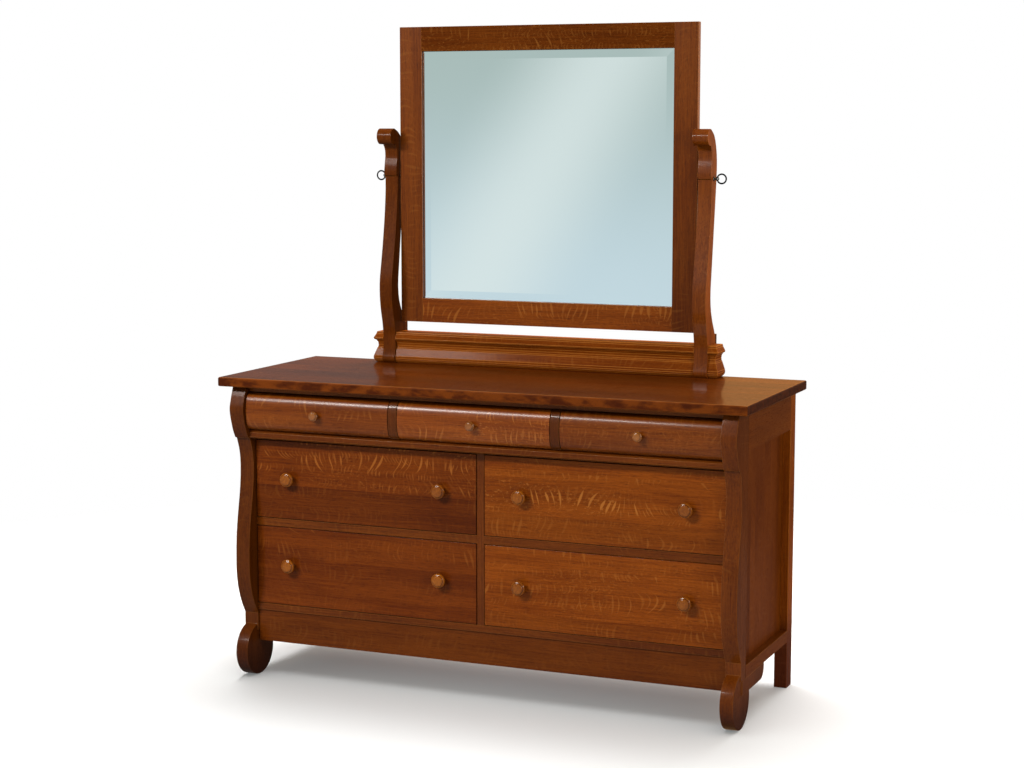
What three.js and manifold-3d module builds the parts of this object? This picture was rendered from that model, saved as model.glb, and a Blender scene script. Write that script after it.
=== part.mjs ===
// Seven-drawer dresser with serpentine front posts, disc feet and a tilting
// mirror between two scrolled harp posts. Millimetres, +Z up, front towards -Y,
// origin on the floor under the middle of the object.

import * as THREE from 'three';
import { mergeVertices } from 'three/addons/utils/BufferGeometryUtils.js';
import Module from 'manifold-3d';

const wasm = await Module();
wasm.setup();

// Clearances and overrun
const reveal = 1.5; // gap around each drawer front
const runningGap = 0.5; // under a drawer box, above the board it slides on
const fitGap = 0.3; // between a turned or cut piece and its seat
const overrun = 5; // how far a cutter reaches past the face it cuts

// Top board
const topWidth = 1600;
const topDepth = 596;
const topThickness = 27;
const topEase = 2.5; // rounded arris of the board
const topSideOverhang = 31;

// Heights of the front, from the floor up
const apronBottomHeight = 105;
const apronHeight = 95;
const bottomRailHeight = 20;
const lowerDrawerHeight = 233;
const middleRailHeight = 23;
const upperDrawerHeight = 231;
const friezeRailHeight = 32;
const smallDrawerHeight = 110;
const topRailHeight = 16.5;

// Front planes, as setbacks from the front edge of the top board
const drawerSetback = 80;
const railSetback = 82;
const apronSetback = 87;
const friezeSetback = 44;
const topRailSetback = 50;
const pillowEdgeSetback = 46;
const pillowCrownSetback = 21;

// Boards inside the case
const railDepth = 40;
const dustBoardThickness = 14;
const apronThickness = 19;
const friezeMouldingHeight = 25;
const friezeNose = 8;
const partitionThickness = 22;
const smallDividerThickness = 26;
const smallDividerCentre = 247;
const backPanelThickness = 10;
const backPanelInset = 2;

// Front posts with their disc feet and brackets
const postWidth = 45;
const postTopSetback = 32;
const postCrownSetback = 10;
const postLedgeSetback = 40;
const postLedgeStep = 7;
const postWaistSetback = 67;
const postWaistHeight = 632;
const postBellySetback = 33;
const postBellyHeight = 345;
const postAnkleSetback = 80;
const postAnkleHeight = 188;
const postDepth = 123; // from the top board's front edge to the back of the post
const footRadius = 78;
const footThickness = 38;
const footSetback = 96.5; // of the disc's centre
const bracketThickness = 24;
const bracketReach = 183; // behind the post
const bracketHeight = 42;
const bracketRound = 34;

// Rear posts and framed sides
const rearPostRelief = 7; // of its inner face outside that of the front post
const rearPostDepth = 50;
const sideRailThickness = 24;
const sideRecess = 22;
const sidePanelThickness = 8;
const sideBottomRailDrop = 48; // below the top of the bottom rail
const sideBottomRailHeight = 35;
const sideTopRailHeight = 112;

// Drawer parts
const drawerFrontThickness = 20;
const drawerBackGap = 16; // between a drawer box and the back panel
const drawerBoxWall = 12;
const drawerBoxBottom = 6;
const drawerSideInset = 1; // of the box inside the edge of its front
const drawerTopInset = 24; // of the box below the top of its front
const smallDrawerTopInset = 16;
const knobSpread = 488; // between the two knobs of a wide drawer
const knobRise = 4; // above the middle of a wide drawer

// Knobs: head radius, length and the spigot that is glued in the front
const wideKnobRadius = 21;
const wideKnobLength = 29;
const smallKnobRadius = 14;
const smallKnobLength = 22;
const spigotShare = 0.3; // of the head radius
const spigotLength = 9;

// Mirror plinth
const plinthEnd = 21; // of the core past the outer face of each harp post
const plinthDepth = 62;
const plinthHeight = 95;
const plinthProjection = 12; // of the moulding, on the front and the ends
const harpFootProud = 5; // of the harp foot in front of the plinth moulding
const harpFootHeight = 45;
const harpHousingDepth = 14; // cut in the plinth behind the harp foot

// Harp posts that carry the mirror
const harpWidth = 41;
const harpDepth = 100;
const harpRise = 143; // above the pivot
const harpRollRadius = 24;
const harpRollProud = 3; // of the roll past each face of the post
const cleatThickness = 18;
const cleatRise = 122; // above the top board
const cleatDrop = 190; // below the top of the top board

// Mirror
const mirrorWidth = 951;
const mirrorHeight = 896;
const mirrorSideGap = 6.5; // to each harp post
const mirrorBottomGap = 32; // above the plinth
const frameMember = 73;
const frameThickness = 21;
const frameForward = 39; // of the frame's face before the top board's rear edge
const glassRecess = 8;
const glassThickness = 5;
const glassBevel = 25;
const glassBevelDrop = 2;
const glassLap = 10; // of the glass behind the frame
const backboardThickness = 6;

// Thumb screws
const screwRadius = 4;
const screwReach = 26; // into the mirror frame
const collarRadius = 7;
const collarLength = 4;
const ballRadius = 6;
const ringRadius = 13.5; // to the middle of its wire
const ringWire = 2.3; // radius of the wire

// Shares of an outline's size, chosen by hand
const postShoulderShares = [0.3, 0.3]; // back to the top's setback, up the small drawer's height
const postHollowShares = [0.5, 0.1]; // back to the ledge's setback, up the frieze rail's height
const postWaistShares = [0.35, 0.55];
const postBellyShares = [0.35, 0.5];
const postAnkleShares = [0.55, 0.83, 0.67]; // down the tail twice, then back to the ankle
const pillowShares = [[0, 0], [0.05, 0.42], [0.12, 0.66], [0.22, 0.84], [0.35, 0.95], [0.5, 1]];
const plinthShares = [
  [0, 0.25], [0.04, 0.6], [0.09, 0.9], [0.15, 1], [0.22, 0.92],
  [0.46, 0.25], [0.5, 0.06], [0.57, 0], [0.65, 0.08], [0.72, 0.4],
  [0.76, 0.9], [0.8, 0.95], [0.93, 0.4], [0.98, 0.32], [1, 0.25],
];
const harpFrontShares = [
  [0.3, 0.12], [0.24, 0.17], [0.12, 0.235], [0.06, 0.3], [0.075, 0.36], [0.18, 0.43],
  [0.31, 0.52], [0.44, 0.63], [0.515, 0.73], [0.52, 0.797],
];
const harpKnuckleShares = [
  [0.455, 0.801], [0.44, 0.82], [0.48, 0.855], [0.52, 0.885], [0.49, 0.912], [0.4, 0.93],
];
const harpRearShares = [
  [0.24, 1], [0.5, 0.992], [0.76, 0.967], [0.94, 0.915], [1, 0.85], [0.93, 0.75], [0.77, 0.588],
  [0.61, 0.43], [0.53, 0.345], [0.57, 0.28], [0.74, 0.225], [0.91, 0.19], [1, 0.165],
];
const knobShares = [
  [0.62, 0], [0.62, 0.06], [0.42, 0.14], [0.4, 0.3], [0.6, 0.44],
  [0.97, 0.52], [1, 0.66], [0.93, 0.8], [0.78, 0.86], [0.72, 0.93], [0.4, 1],
];

// Counts of facets and of steps along curves
const discSides = 36;
const rollSides = 28;
const knobSides = 20;
const screwSides = 16;
const ringSides = 24;
const wireSides = 8;
const arcSteps = 8; // in a quarter turn
const ballSteps = 6; // in half a turn
const postUpperSteps = 20;
const postLowerSteps = 9; // in each of its three curves
const harpFrontSteps = 22;
const harpKnuckleSteps = 12;
const harpRearSteps = 26;

// Places worked out from the sizes above
const frontEdge = -topDepth / 2;
const rearEdge = topDepth / 2;
const caseHalf = topWidth / 2 - topSideOverhang;
const postInner = caseHalf - postWidth;
const drawerPlane = frontEdge + drawerSetback;
const railPlane = frontEdge + railSetback;
const postBack = frontEdge + postDepth;
const bottomRailBase = apronBottomHeight + apronHeight;
const bottomRailTop = bottomRailBase + bottomRailHeight;
const lowerDrawerBase = bottomRailTop + reveal;
const middleRailBase = lowerDrawerBase + lowerDrawerHeight + reveal;
const middleRailTop = middleRailBase + middleRailHeight;
const upperDrawerBase = middleRailTop + reveal;
const friezeRailBase = upperDrawerBase + upperDrawerHeight + reveal;
const friezeRailTop = friezeRailBase + friezeRailHeight;
const smallDrawerBase = friezeRailTop + reveal;
const topRailBase = smallDrawerBase + smallDrawerHeight + reveal;
const caseTop = topRailBase + topRailHeight;
const topSurface = caseTop + topThickness;
const backPanelFront = rearEdge - backPanelInset - backPanelThickness;
const rearPostInner = postInner + rearPostRelief;
const rearPostFront = rearEdge - rearPostDepth;
const sideBottomRailTop = bottomRailTop - sideBottomRailDrop;
const sideBottomRailBase = sideBottomRailTop - sideBottomRailHeight;
const sideTopRailBase = caseTop - sideTopRailHeight;
const railBack = railPlane + railDepth;
const topRailBack = frontEdge + topRailSetback + railDepth;
const plinthFront = rearEdge - plinthDepth;
const frameFront = rearEdge - frameForward;
const frameBase = topSurface + plinthHeight + mirrorBottomGap;
const frameTop = frameBase + mirrorHeight;
const pivotHeight = frameBase + mirrorHeight / 2;
const pivotPlane = frameFront + frameThickness / 2;
const mirrorHalf = mirrorWidth / 2;
const harpInner = mirrorHalf + mirrorSideGap;
const harpOuter = harpInner + harpWidth;
const harpFrontmost = rearEdge - harpDepth;
const harpTop = pivotHeight + harpRise;
const screwHole = screwRadius + fitGap;

const oak = (name, colour, roughness = 0.42) =>
  new THREE.MeshStandardMaterial({ name, color: colour, roughness, metalness: 0 });
const caseOak = oak('case_oak', 0x5e2c12);
const frontOak = oak('front_oak', 0x7c4219);
const knobOak = oak('knob_oak', 0x9a5a26, 0.35);
const drawerWood = oak('drawer_wood', 0xb98a55, 0.6);
const silveredGlass = new THREE.MeshStandardMaterial({ color: 0xb4cbd0, roughness: 0.05, metalness: 1 });
const pewter = new THREE.MeshStandardMaterial({ color: 0x5a5952, roughness: 0.4, metalness: 0.9 });

const between = (from, to, share) => from + (to - from) * share;

// A box between its low and high values along each axis
function block([x0, x1], [y0, y1], [z0, z1]) {
  const box = new THREE.BoxGeometry(x1 - x0, y1 - y0, z1 - z0);
  return box.translate((x0 + x1) / 2, (y0 + y1) / 2, (z0 + z1) / 2);
}

// An outline of [y, z] points, extruded along X from x0 to x1
function alongX(outline, [x0, x1]) {
  const shape = new THREE.Shape(outline.map(([y, z]) => new THREE.Vector2(y, z)));
  const solid = new THREE.ExtrudeGeometry(shape, { depth: x1 - x0, bevelEnabled: false });
  const turn = new THREE.Matrix4().makeBasis(
    new THREE.Vector3(0, 1, 0), new THREE.Vector3(0, 0, 1), new THREE.Vector3(1, 0, 0));
  return solid.applyMatrix4(turn).translate(x0, 0, 0);
}

// A closed skin over rings of points that all have the same count
function skin(rings) {
  const count = rings[0].length;
  const positions = rings.flat(2);
  const faces = [];
  for (let r = 0; r + 1 < rings.length; r++) {
    for (let i = 0; i < count; i++) {
      const a = r * count + i;
      const b = r * count + (i + 1) % count;
      faces.push(a, b, b + count, a, b + count, a + count);
    }
  }
  const last = (rings.length - 1) * count;
  for (let i = 1; i + 1 < count; i++) {
    faces.push(0, i + 1, i, last, last + i, last + i + 1);
  }
  const solid = new THREE.BufferGeometry();
  solid.setAttribute('position', new THREE.Float32BufferAttribute(positions, 3));
  solid.setIndex(faces);
  return solid.toNonIndexed();
}

function toManifold(geometry) {
  const bare = geometry.clone();
  bare.deleteAttribute('normal');
  bare.deleteAttribute('uv');
  const merged = mergeVertices(bare);
  return new wasm.Manifold(new wasm.Mesh({
    numProp: 3,
    vertProperties: merged.attributes.position.array,
    triVerts: new Uint32Array(merged.index.array),
  }));
}

function fromManifold(manifold) {
  const { vertProperties, triVerts } = manifold.getMesh();
  const solid = new THREE.BufferGeometry();
  solid.setAttribute('position', new THREE.BufferAttribute(new Float32Array(vertProperties), 3));
  solid.setIndex(new THREE.BufferAttribute(new Uint32Array(triVerts), 1));
  const flat = solid.toNonIndexed();
  flat.computeVertexNormals();
  return flat;
}

const cut = (geometry, ...tools) => fromManifold(
  tools.reduce((left, tool) => left.subtract(toManifold(tool)), toManifold(geometry)));
const join = (geometry, ...pieces) => fromManifold(
  pieces.reduce((sum, piece) => sum.add(toManifold(piece)), toManifold(geometry)));

// A round bar along X
function barAlongX(radius, [x0, x1], y, z, facets) {
  const bar = new THREE.CylinderGeometry(radius, radius, x1 - x0, facets);
  return bar.rotateZ(Math.PI / 2).translate((x0 + x1) / 2, y, z);
}

const group = new THREE.Group();

function add(name, geometry, material) {
  const mesh = new THREE.Mesh(geometry, material);
  mesh.name = name;
  group.add(mesh);
}

const sides = [['left', -1], ['right', 1]];

// The span from near to far on one side of the middle, low value first
const span = (side, near, far) => (side < 0 ? [-far, -near] : [near, far]);

// Pulvinated profile of the small drawers and their dividers, [y, z] from the bottom up
function pillow(base, height) {
  const depth = pillowEdgeSetback - pillowCrownSetback;
  const edge = frontEdge + pillowEdgeSetback;
  const rising = pillowShares.map(([up, out]) => [edge - out * depth, base + up * height]);
  const falling = pillowShares.slice(0, -1).reverse()
    .map(([up, out]) => [edge - out * depth, base + (1 - up) * height]);
  return [...rising, ...falling];
}

// Top board with an eased arris all round
function topBoard() {
  const levels = [
    [0, topEase], [topEase, 0], [topThickness - topEase, 0], [topThickness, topEase],
  ];
  return skin(levels.map(([up, inset]) => {
    const x = topWidth / 2 - inset;
    const y = topDepth / 2 - inset;
    const z = caseTop + up;
    return [[-x, -y, z], [x, -y, z], [x, y, z], [-x, y, z]];
  }));
}

// Serpentine front line of a corner post, from its top down to the ankle
function postFront() {
  const crownHeight = smallDrawerBase + smallDrawerHeight / 2;
  const ledgeHeight = friezeRailTop - friezeMouldingHeight;
  const [shoulderBack, shoulderUp] = postShoulderShares;
  const [hollowBack, hollowUp] = postHollowShares;
  const upper = new THREE.SplineCurve([
    [postTopSetback, caseTop],
    [between(postCrownSetback, postTopSetback, shoulderBack),
      crownHeight + smallDrawerHeight * shoulderUp],
    [postCrownSetback, crownHeight],
    [between(postCrownSetback, postLedgeSetback, hollowBack),
      friezeRailTop + friezeRailHeight * hollowUp],
    [postLedgeSetback, ledgeHeight],
  ].map(([setback, height]) => new THREE.Vector2(setback, height)));
  const [waistHigh, waistLow] = postWaistShares;
  const [bellyHigh, bellyLow] = postBellyShares;
  const [ankleHigh, ankleLow, ankleBack] = postAnkleShares;
  const lower = new THREE.Path();
  lower.moveTo(postLedgeSetback + postLedgeStep, ledgeHeight);
  lower.bezierCurveTo(
    postWaistSetback - postLedgeStep, between(ledgeHeight, postWaistHeight, waistHigh),
    postWaistSetback, between(ledgeHeight, postWaistHeight, waistLow),
    postWaistSetback, postWaistHeight);
  lower.bezierCurveTo(
    postWaistSetback, between(postWaistHeight, postBellyHeight, bellyHigh),
    postBellySetback, between(postWaistHeight, postBellyHeight, bellyLow),
    postBellySetback, postBellyHeight);
  lower.bezierCurveTo(
    postBellySetback, between(postBellyHeight, postAnkleHeight, ankleHigh),
    between(postBellySetback, postAnkleSetback, ankleBack),
    between(postBellyHeight, postAnkleHeight, ankleLow),
    postAnkleSetback, postAnkleHeight);
  return [...upper.getPoints(postUpperSteps), ...lower.getPoints(postLowerSteps)]
    .map((point) => [frontEdge + point.x, point.y]);
}

// Disc foot as [y, z] points, flat on the floor
function footOutline() {
  const centreHeight = footRadius * Math.cos(Math.PI / discSides);
  return Array.from({ length: discSides }, (_, i) => {
    const angle = (2 * i + 1) / discSides * Math.PI - Math.PI / 2;
    return [
      frontEdge + footSetback + footRadius * Math.cos(angle),
      centreHeight + footRadius * Math.sin(angle),
    ];
  });
}

// Bracket behind the foot, under the bottom rail of the side
function bracketOutline() {
  const base = sideBottomRailBase - bracketHeight;
  const rear = postBack + bracketReach;
  const round = Array.from({ length: arcSteps + 1 }, (_, i) => {
    const angle = (i / arcSteps) * Math.PI / 2;
    return [rear - bracketRound + bracketRound * Math.sin(angle),
      base + bracketRound - bracketRound * Math.cos(angle)];
  });
  return [[frontEdge + footSetback, base], ...round,
    [rear, sideBottomRailBase], [frontEdge + footSetback, sideBottomRailBase]];
}

function frontPost(side) {
  const outline = [...postFront(), [frontEdge + postAnkleSetback, sideBottomRailBase],
    [postBack, sideBottomRailBase], [postBack, caseTop]].reverse();
  const footInner = postInner + (postWidth - footThickness) / 2;
  const foot = cut(
    alongX(footOutline(), span(side, footInner, footInner + footThickness)),
    block(span(side, postInner, caseHalf + overrun), [postBack, rearPostFront],
      [sideBottomRailBase, sideBottomRailTop]));
  return join(
    alongX(outline, span(side, postInner, caseHalf)),
    foot,
    alongX(bracketOutline(), span(side, caseHalf - bracketThickness, caseHalf)),
  );
}

// Rail with the dust board that is housed in its back
const webBoard = (width, base, top) => alongX([
  [railPlane, base], [railBack, base], [railBack, top - dustBoardThickness],
  [backPanelFront, top - dustBoardThickness], [backPanelFront, top], [railPlane, top],
], width);

function addCase() {
  add('top_board', topBoard(), caseOak);
  for (const [word, side] of sides) {
    add(`front_post_${word}`, frontPost(side), caseOak);
    add(`rear_post_${word}`,
      block(span(side, rearPostInner, caseHalf), [rearPostFront, rearEdge], [0, caseTop]), caseOak);
    const railSpan = span(side, caseHalf - sideRailThickness, caseHalf);
    const railRun = [postBack, rearPostFront];
    add(`side_bottom_rail_${word}`,
      block(railSpan, railRun, [sideBottomRailBase, sideBottomRailTop]), caseOak);
    add(`side_top_rail_${word}`, block(railSpan, railRun, [sideTopRailBase, caseTop]), caseOak);
    const panelFace = caseHalf - sideRecess;
    add(`side_panel_${word}`,
      block(span(side, panelFace - sidePanelThickness, panelFace), railRun,
        [sideBottomRailTop, sideTopRailBase]), caseOak);
  }
  add('back_panel',
    block([-rearPostInner, rearPostInner], [backPanelFront, backPanelFront + backPanelThickness],
      [sideBottomRailBase, caseTop]), drawerWood);
  add('top_rail',
    block([-postInner, postInner], [frontEdge + topRailSetback, topRailBack], [topRailBase, caseTop]),
    caseOak);
  const mouldingBase = friezeRailTop - friezeMouldingHeight;
  const nose = frontEdge + friezeSetback;
  add('frieze_moulding', alongX([
    [railPlane, mouldingBase], [railPlane, friezeRailTop], [nose + friezeNose, friezeRailTop],
    [nose, friezeRailTop - friezeNose], [nose, mouldingBase + friezeNose / 2],
    [nose + friezeNose / 2, mouldingBase],
  ], [-postInner, postInner]), caseOak);
  const apronFront = frontEdge + apronSetback;
  add('apron',
    block([-postInner, postInner], [apronFront, apronFront + apronThickness],
      [apronBottomHeight, bottomRailBase]), frontOak);
}

function addWebBoards() {
  const half = partitionThickness / 2;
  const across = [-postInner, postInner];
  add('web_board_base', webBoard(across, bottomRailBase, bottomRailTop), caseOak);
  add('web_board_frieze', webBoard(across, friezeRailBase, friezeRailTop), caseOak);
  add('centre_partition', alongX([
    [railPlane, bottomRailTop], [backPanelFront, bottomRailTop],
    [backPanelFront, friezeRailTop - dustBoardThickness], [railBack, friezeRailTop - dustBoardThickness],
    [railBack, friezeRailBase], [railPlane, friezeRailBase],
  ], [-half, half]), caseOak);
  for (const [word, side] of sides) {
    const halfWidth = span(side, half, postInner);
    add(`web_board_${word}`, webBoard(halfWidth, middleRailBase, middleRailTop), caseOak);
    const near = smallDividerCentre - smallDividerThickness / 2;
    const thickness = span(side, near, near + smallDividerThickness);
    const outline = [
      ...pillow(friezeRailTop, topRailBase - friezeRailTop), [topRailBack, topRailBase],
      [topRailBack, caseTop], [backPanelFront, caseTop], [backPanelFront, friezeRailTop],
    ].reverse();
    add(`small_divider_${word}`, alongX(outline, thickness), caseOak);
  }
}

// Knob turned on an axis towards the front, its spigot behind the face at y
function knob(radius, length, x, y, z) {
  const spigot = radius * spigotShare;
  const profile = [
    [0, -spigotLength], [spigot, -spigotLength], [spigot, 0],
    ...knobShares.map(([out, along]) => [out * radius, along * length]), [0, length],
  ].map(([out, along]) => new THREE.Vector2(out, along));
  return new THREE.LatheGeometry(profile, knobSides).rotateX(Math.PI).translate(x, y, z);
}

function knobSocket(radius, x, y, z) {
  const depth = spigotLength + fitGap;
  const bore = radius * spigotShare + fitGap;
  return new THREE.CylinderGeometry(bore, bore, depth + overrun, knobSides)
    .translate(x, y + (depth - overrun) / 2, z);
}

// Open box of a drawer, seen from above
function drawerBox([x0, x1], [z0, z1]) {
  const front = drawerPlane + drawerFrontThickness;
  const rear = backPanelFront - drawerBackGap;
  return cut(
    block([x0, x1], [front, rear], [z0, z1]),
    block([x0 + drawerBoxWall, x1 - drawerBoxWall], [front + drawerBoxWall, rear - drawerBoxWall],
      [z0 + drawerBoxBottom, z1 + overrun]));
}

function addDrawer(name, [x0, x1], base, height, small) {
  const middle = (x0 + x1) / 2;
  const face = small ? frontEdge + pillowCrownSetback : drawerPlane;
  const radius = small ? smallKnobRadius : wideKnobRadius;
  const length = small ? smallKnobLength : wideKnobLength;
  const knobHeight = base + height / 2 + (small ? 0 : knobRise);
  const knobPlaces = small ? [middle] : [middle - knobSpread / 2, middle + knobSpread / 2];
  const frontBack = drawerPlane + drawerFrontThickness;
  const plain = small
    ? alongX([...pillow(base, height), [frontBack, base + height], [frontBack, base]].reverse(), [x0, x1])
    : block([x0, x1], [drawerPlane, frontBack], [base, base + height]);
  const sockets = knobPlaces.map((x) => knobSocket(radius, x, face, knobHeight));
  add(`${name}_front`, cut(plain, ...sockets), frontOak);
  const boxBase = base - reveal + runningGap;
  const boxTop = base + height - (small ? smallDrawerTopInset : drawerTopInset);
  const boxWidth = [x0 + drawerSideInset, x1 - drawerSideInset];
  add(`${name}_box`, drawerBox(boxWidth, [boxBase, boxTop]), drawerWood);
  knobPlaces.forEach((x, i) => {
    const word = small ? 'knob' : ['knob_left', 'knob_right'][i];
    add(`${name}_${word}`, knob(radius, length, x, face, knobHeight), knobOak);
  });
}

function addDrawers() {
  const outer = postInner - reveal;
  const inner = partitionThickness / 2 + reveal;
  const dividerNear = smallDividerCentre - smallDividerThickness / 2 - reveal;
  const dividerFar = smallDividerCentre + smallDividerThickness / 2 + reveal;
  for (const [word, side] of sides) {
    const wide = span(side, inner, outer);
    addDrawer(`lower_${word}_drawer`, wide, lowerDrawerBase, lowerDrawerHeight, false);
    addDrawer(`upper_${word}_drawer`, wide, upperDrawerBase, upperDrawerHeight, false);
    const narrow = span(side, dividerFar, outer);
    addDrawer(`small_${word}_drawer`, narrow, smallDrawerBase, smallDrawerHeight, true);
  }
  addDrawer('small_middle_drawer', [-dividerNear, dividerNear], smallDrawerBase, smallDrawerHeight, true);
}

// Plinth with its moulding mitred round the ends and two housings for the harp feet
function plinth() {
  const rings = plinthShares.map(([up, out]) => {
    const reach = out * plinthProjection;
    const x = harpOuter + plinthEnd + reach;
    const y = plinthFront - reach;
    const z = topSurface + up * plinthHeight;
    return [[-x, y, z], [x, y, z], [x, rearEdge, z], [-x, rearEdge, z]];
  });
  const housings = sides.map(([, side]) =>
    block(span(side, harpInner - fitGap, harpOuter + fitGap),
      [plinthFront - plinthProjection - overrun, plinthFront + harpHousingDepth],
      [topSurface - overrun, topSurface + plinthHeight + overrun]));
  return cut(skin(rings), ...housings);
}

// Foot, serpentine front, knuckle at the pivot, scroll roll and curved back
function harpPost(side) {
  const place = ([deep, up]) => [harpFrontmost + deep * harpDepth, between(topSurface, harpTop, up)];
  const smooth = (shares, steps) => {
    const curve = new THREE.SplineCurve(shares.map(place).map(([y, z]) => new THREE.Vector2(y, z)));
    return curve.getPoints(steps).map((point) => [point.x, point.y]);
  };
  const footFront = plinthFront - harpFootProud;
  const foot = plinthShares
    .filter(([up]) => up * plinthHeight <= harpFootHeight)
    .map(([up, out]) => [footFront - out * plinthProjection, topSurface + up * plinthHeight]);
  const plinthTop = topSurface + plinthHeight + fitGap;
  const lap = plinthFront + harpHousingDepth - fitGap;
  const rollCentre = [harpFrontmost + harpRollRadius, harpTop - harpRollRadius];
  const outline = [
    ...foot, ...smooth(harpFrontShares, harpFrontSteps),
    ...smooth(harpKnuckleShares, harpKnuckleSteps), rollCentre,
    ...smooth(harpRearShares, harpRearSteps), [rearEdge, plinthTop],
    [lap, plinthTop], [lap, topSurface],
  ].reverse();
  const roll = barAlongX(harpRollRadius,
    span(side, harpInner - harpRollProud, harpOuter + harpRollProud), ...rollCentre, rollSides);
  const bore = barAlongX(screwHole,
    span(side, harpInner - overrun, harpOuter + overrun), pivotPlane, pivotHeight, screwSides);
  return cut(join(alongX(outline, span(side, harpInner, harpOuter)), roll), bore);
}

// Screw with a collar, a ball and a ring to turn it by
function thumbScrew(side) {
  const tip = mirrorHalf - screwReach;
  const ball = harpOuter + collarLength + ballRadius;
  const rounded = Array.from({ length: ballSteps + 1 }, (_, i) => {
    const angle = Math.PI * (1 / 2 - i / ballSteps);
    return [ballRadius * Math.cos(angle), ball - ballRadius * Math.sin(angle)];
  }).filter(([out]) => out > screwRadius);
  const profile = [
    [0, tip], [screwRadius, tip], [screwRadius, harpOuter], [collarRadius, harpOuter],
    [collarRadius, harpOuter + collarLength / 2], [screwRadius, harpOuter + collarLength],
    ...rounded, [0, ball + ballRadius],
  ].map(([out, along]) => new THREE.Vector2(out, along));
  const body = new THREE.LatheGeometry(profile, screwSides).rotateZ(-Math.PI / 2);
  const ring = new THREE.TorusGeometry(ringRadius, ringWire, wireSides, ringSides)
    .rotateX(Math.PI / 2).translate(ball + ringRadius, 0, 0);
  const right = join(body, ring);
  return (side < 0 ? right.rotateZ(Math.PI) : right).translate(0, pivotPlane, pivotHeight);
}

function addMirrorStand() {
  add('mirror_plinth', plinth(), caseOak);
  for (const [word, side] of sides) {
    add(`harp_post_${word}`, harpPost(side), caseOak);
    add(`rear_cleat_${word}`,
      block(span(side, harpInner, harpOuter), [rearEdge, rearEdge + cleatThickness],
        [topSurface - cleatDrop, topSurface + cleatRise]), caseOak);
    add(`thumb_screw_${word}`, thumbScrew(side), pewter);
  }
}

function addMirror() {
  const opening = mirrorHalf - frameMember;
  const low = frameBase + frameMember;
  const high = frameTop - frameMember;
  const depth = [frameFront, frameFront + frameThickness];
  const pocketFront = frameFront + glassRecess;
  const pocket = block(
    [-opening - glassLap, opening + glassLap], [pocketFront, depth[1] + overrun],
    [low - glassLap, high + glassLap]);
  for (const [word, side] of sides) {
    const bore = barAlongX(screwHole,
      span(side, mirrorHalf - screwReach - fitGap, mirrorHalf + overrun),
      pivotPlane, pivotHeight, screwSides);
    const stile = block(span(side, opening, mirrorHalf), depth, [frameBase, frameTop]);
    add(`mirror_stile_${word}`, cut(stile, pocket, bore), caseOak);
  }
  add('mirror_top_rail', cut(block([-opening, opening], depth, [high, frameTop]), pocket), caseOak);
  add('mirror_bottom_rail', cut(block([-opening, opening], depth, [frameBase, low]), pocket), caseOak);
  const reach = glassLap - fitGap;
  const pane = (inset, y) => {
    const x = opening + reach - inset;
    return [
      [-x, y, low - reach + inset], [-x, y, high + reach - inset],
      [x, y, high + reach - inset], [x, y, low - reach + inset],
    ];
  };
  const glassFront = pocketFront + fitGap;
  add('mirror_glass', skin([
    pane(0, glassFront + glassThickness), pane(0, glassFront + glassBevelDrop),
    pane(reach + glassBevel, glassFront),
  ].map((ring) => ring.reverse())), silveredGlass);
  const boardFront = glassFront + glassThickness;
  add('mirror_backboard',
    block([-opening - reach, opening + reach], [boardFront, boardFront + backboardThickness],
      [low - reach, high + reach]), drawerWood);
}

addCase();
addWebBoards();
addDrawers();
addMirrorStand();
addMirror();

// The origin lies midway between the small knobs in front and the cleats behind
const foremost = frontEdge + pillowCrownSetback - smallKnobLength;
const rearmost = rearEdge + cleatThickness;
group.position.y = -(Math.min(foremost, frontEdge) + rearmost) / 2;

export default group;
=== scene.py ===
"""Looks of the dresser with mirror: quartersawn oak, turned knobs, silvered glass and pewter screws."""

import math

import bmesh
import bpy
from mathutils import Euler, Matrix, Vector


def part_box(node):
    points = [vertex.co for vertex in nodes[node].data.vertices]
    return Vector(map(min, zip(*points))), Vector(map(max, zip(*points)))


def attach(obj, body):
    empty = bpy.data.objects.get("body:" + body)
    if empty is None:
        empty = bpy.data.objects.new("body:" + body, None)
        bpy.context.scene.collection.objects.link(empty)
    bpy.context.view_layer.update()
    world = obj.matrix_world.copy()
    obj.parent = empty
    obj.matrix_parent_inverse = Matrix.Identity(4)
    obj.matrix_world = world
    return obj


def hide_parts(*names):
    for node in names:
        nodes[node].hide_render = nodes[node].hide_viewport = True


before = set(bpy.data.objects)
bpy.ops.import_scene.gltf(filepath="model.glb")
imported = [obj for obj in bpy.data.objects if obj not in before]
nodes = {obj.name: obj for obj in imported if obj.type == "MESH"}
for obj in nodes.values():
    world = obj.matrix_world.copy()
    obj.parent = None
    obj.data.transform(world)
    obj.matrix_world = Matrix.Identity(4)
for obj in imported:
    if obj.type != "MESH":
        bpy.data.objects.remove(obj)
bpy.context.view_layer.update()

MM = 0.001
SIDES = (("left", -1), ("right", 1))
WIDE_DRAWERS = ("lower_left_drawer", "lower_right_drawer", "upper_left_drawer", "upper_right_drawer")
SMALL_DRAWERS = ("small_left_drawer", "small_middle_drawer", "small_right_drawer")


# Shader wiring

def wire(tree, kind, feeds=None, **settings):
    """A shader node with its settings. Feeds are values or sockets for its inputs, by name or place."""
    node = tree.nodes.new("ShaderNode" + kind)
    for key, value in settings.items():
        setattr(node, key, value)
    for key, value in (feeds or {}).items():
        if isinstance(value, bpy.types.NodeSocket):
            tree.links.new(value, node.inputs[key])
        else:
            node.inputs[key].default_value = value
    return node


def calc(tree, operation, first, second=0.0, clamp=False):
    """The result of one sum on two values or sockets."""
    feeds = {0: first, 1: second}
    return wire(tree, "Math", feeds, operation=operation, use_clamp=clamp).outputs[0]


def plus(tree, first, second):
    return calc(tree, "ADD", first, second)


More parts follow.
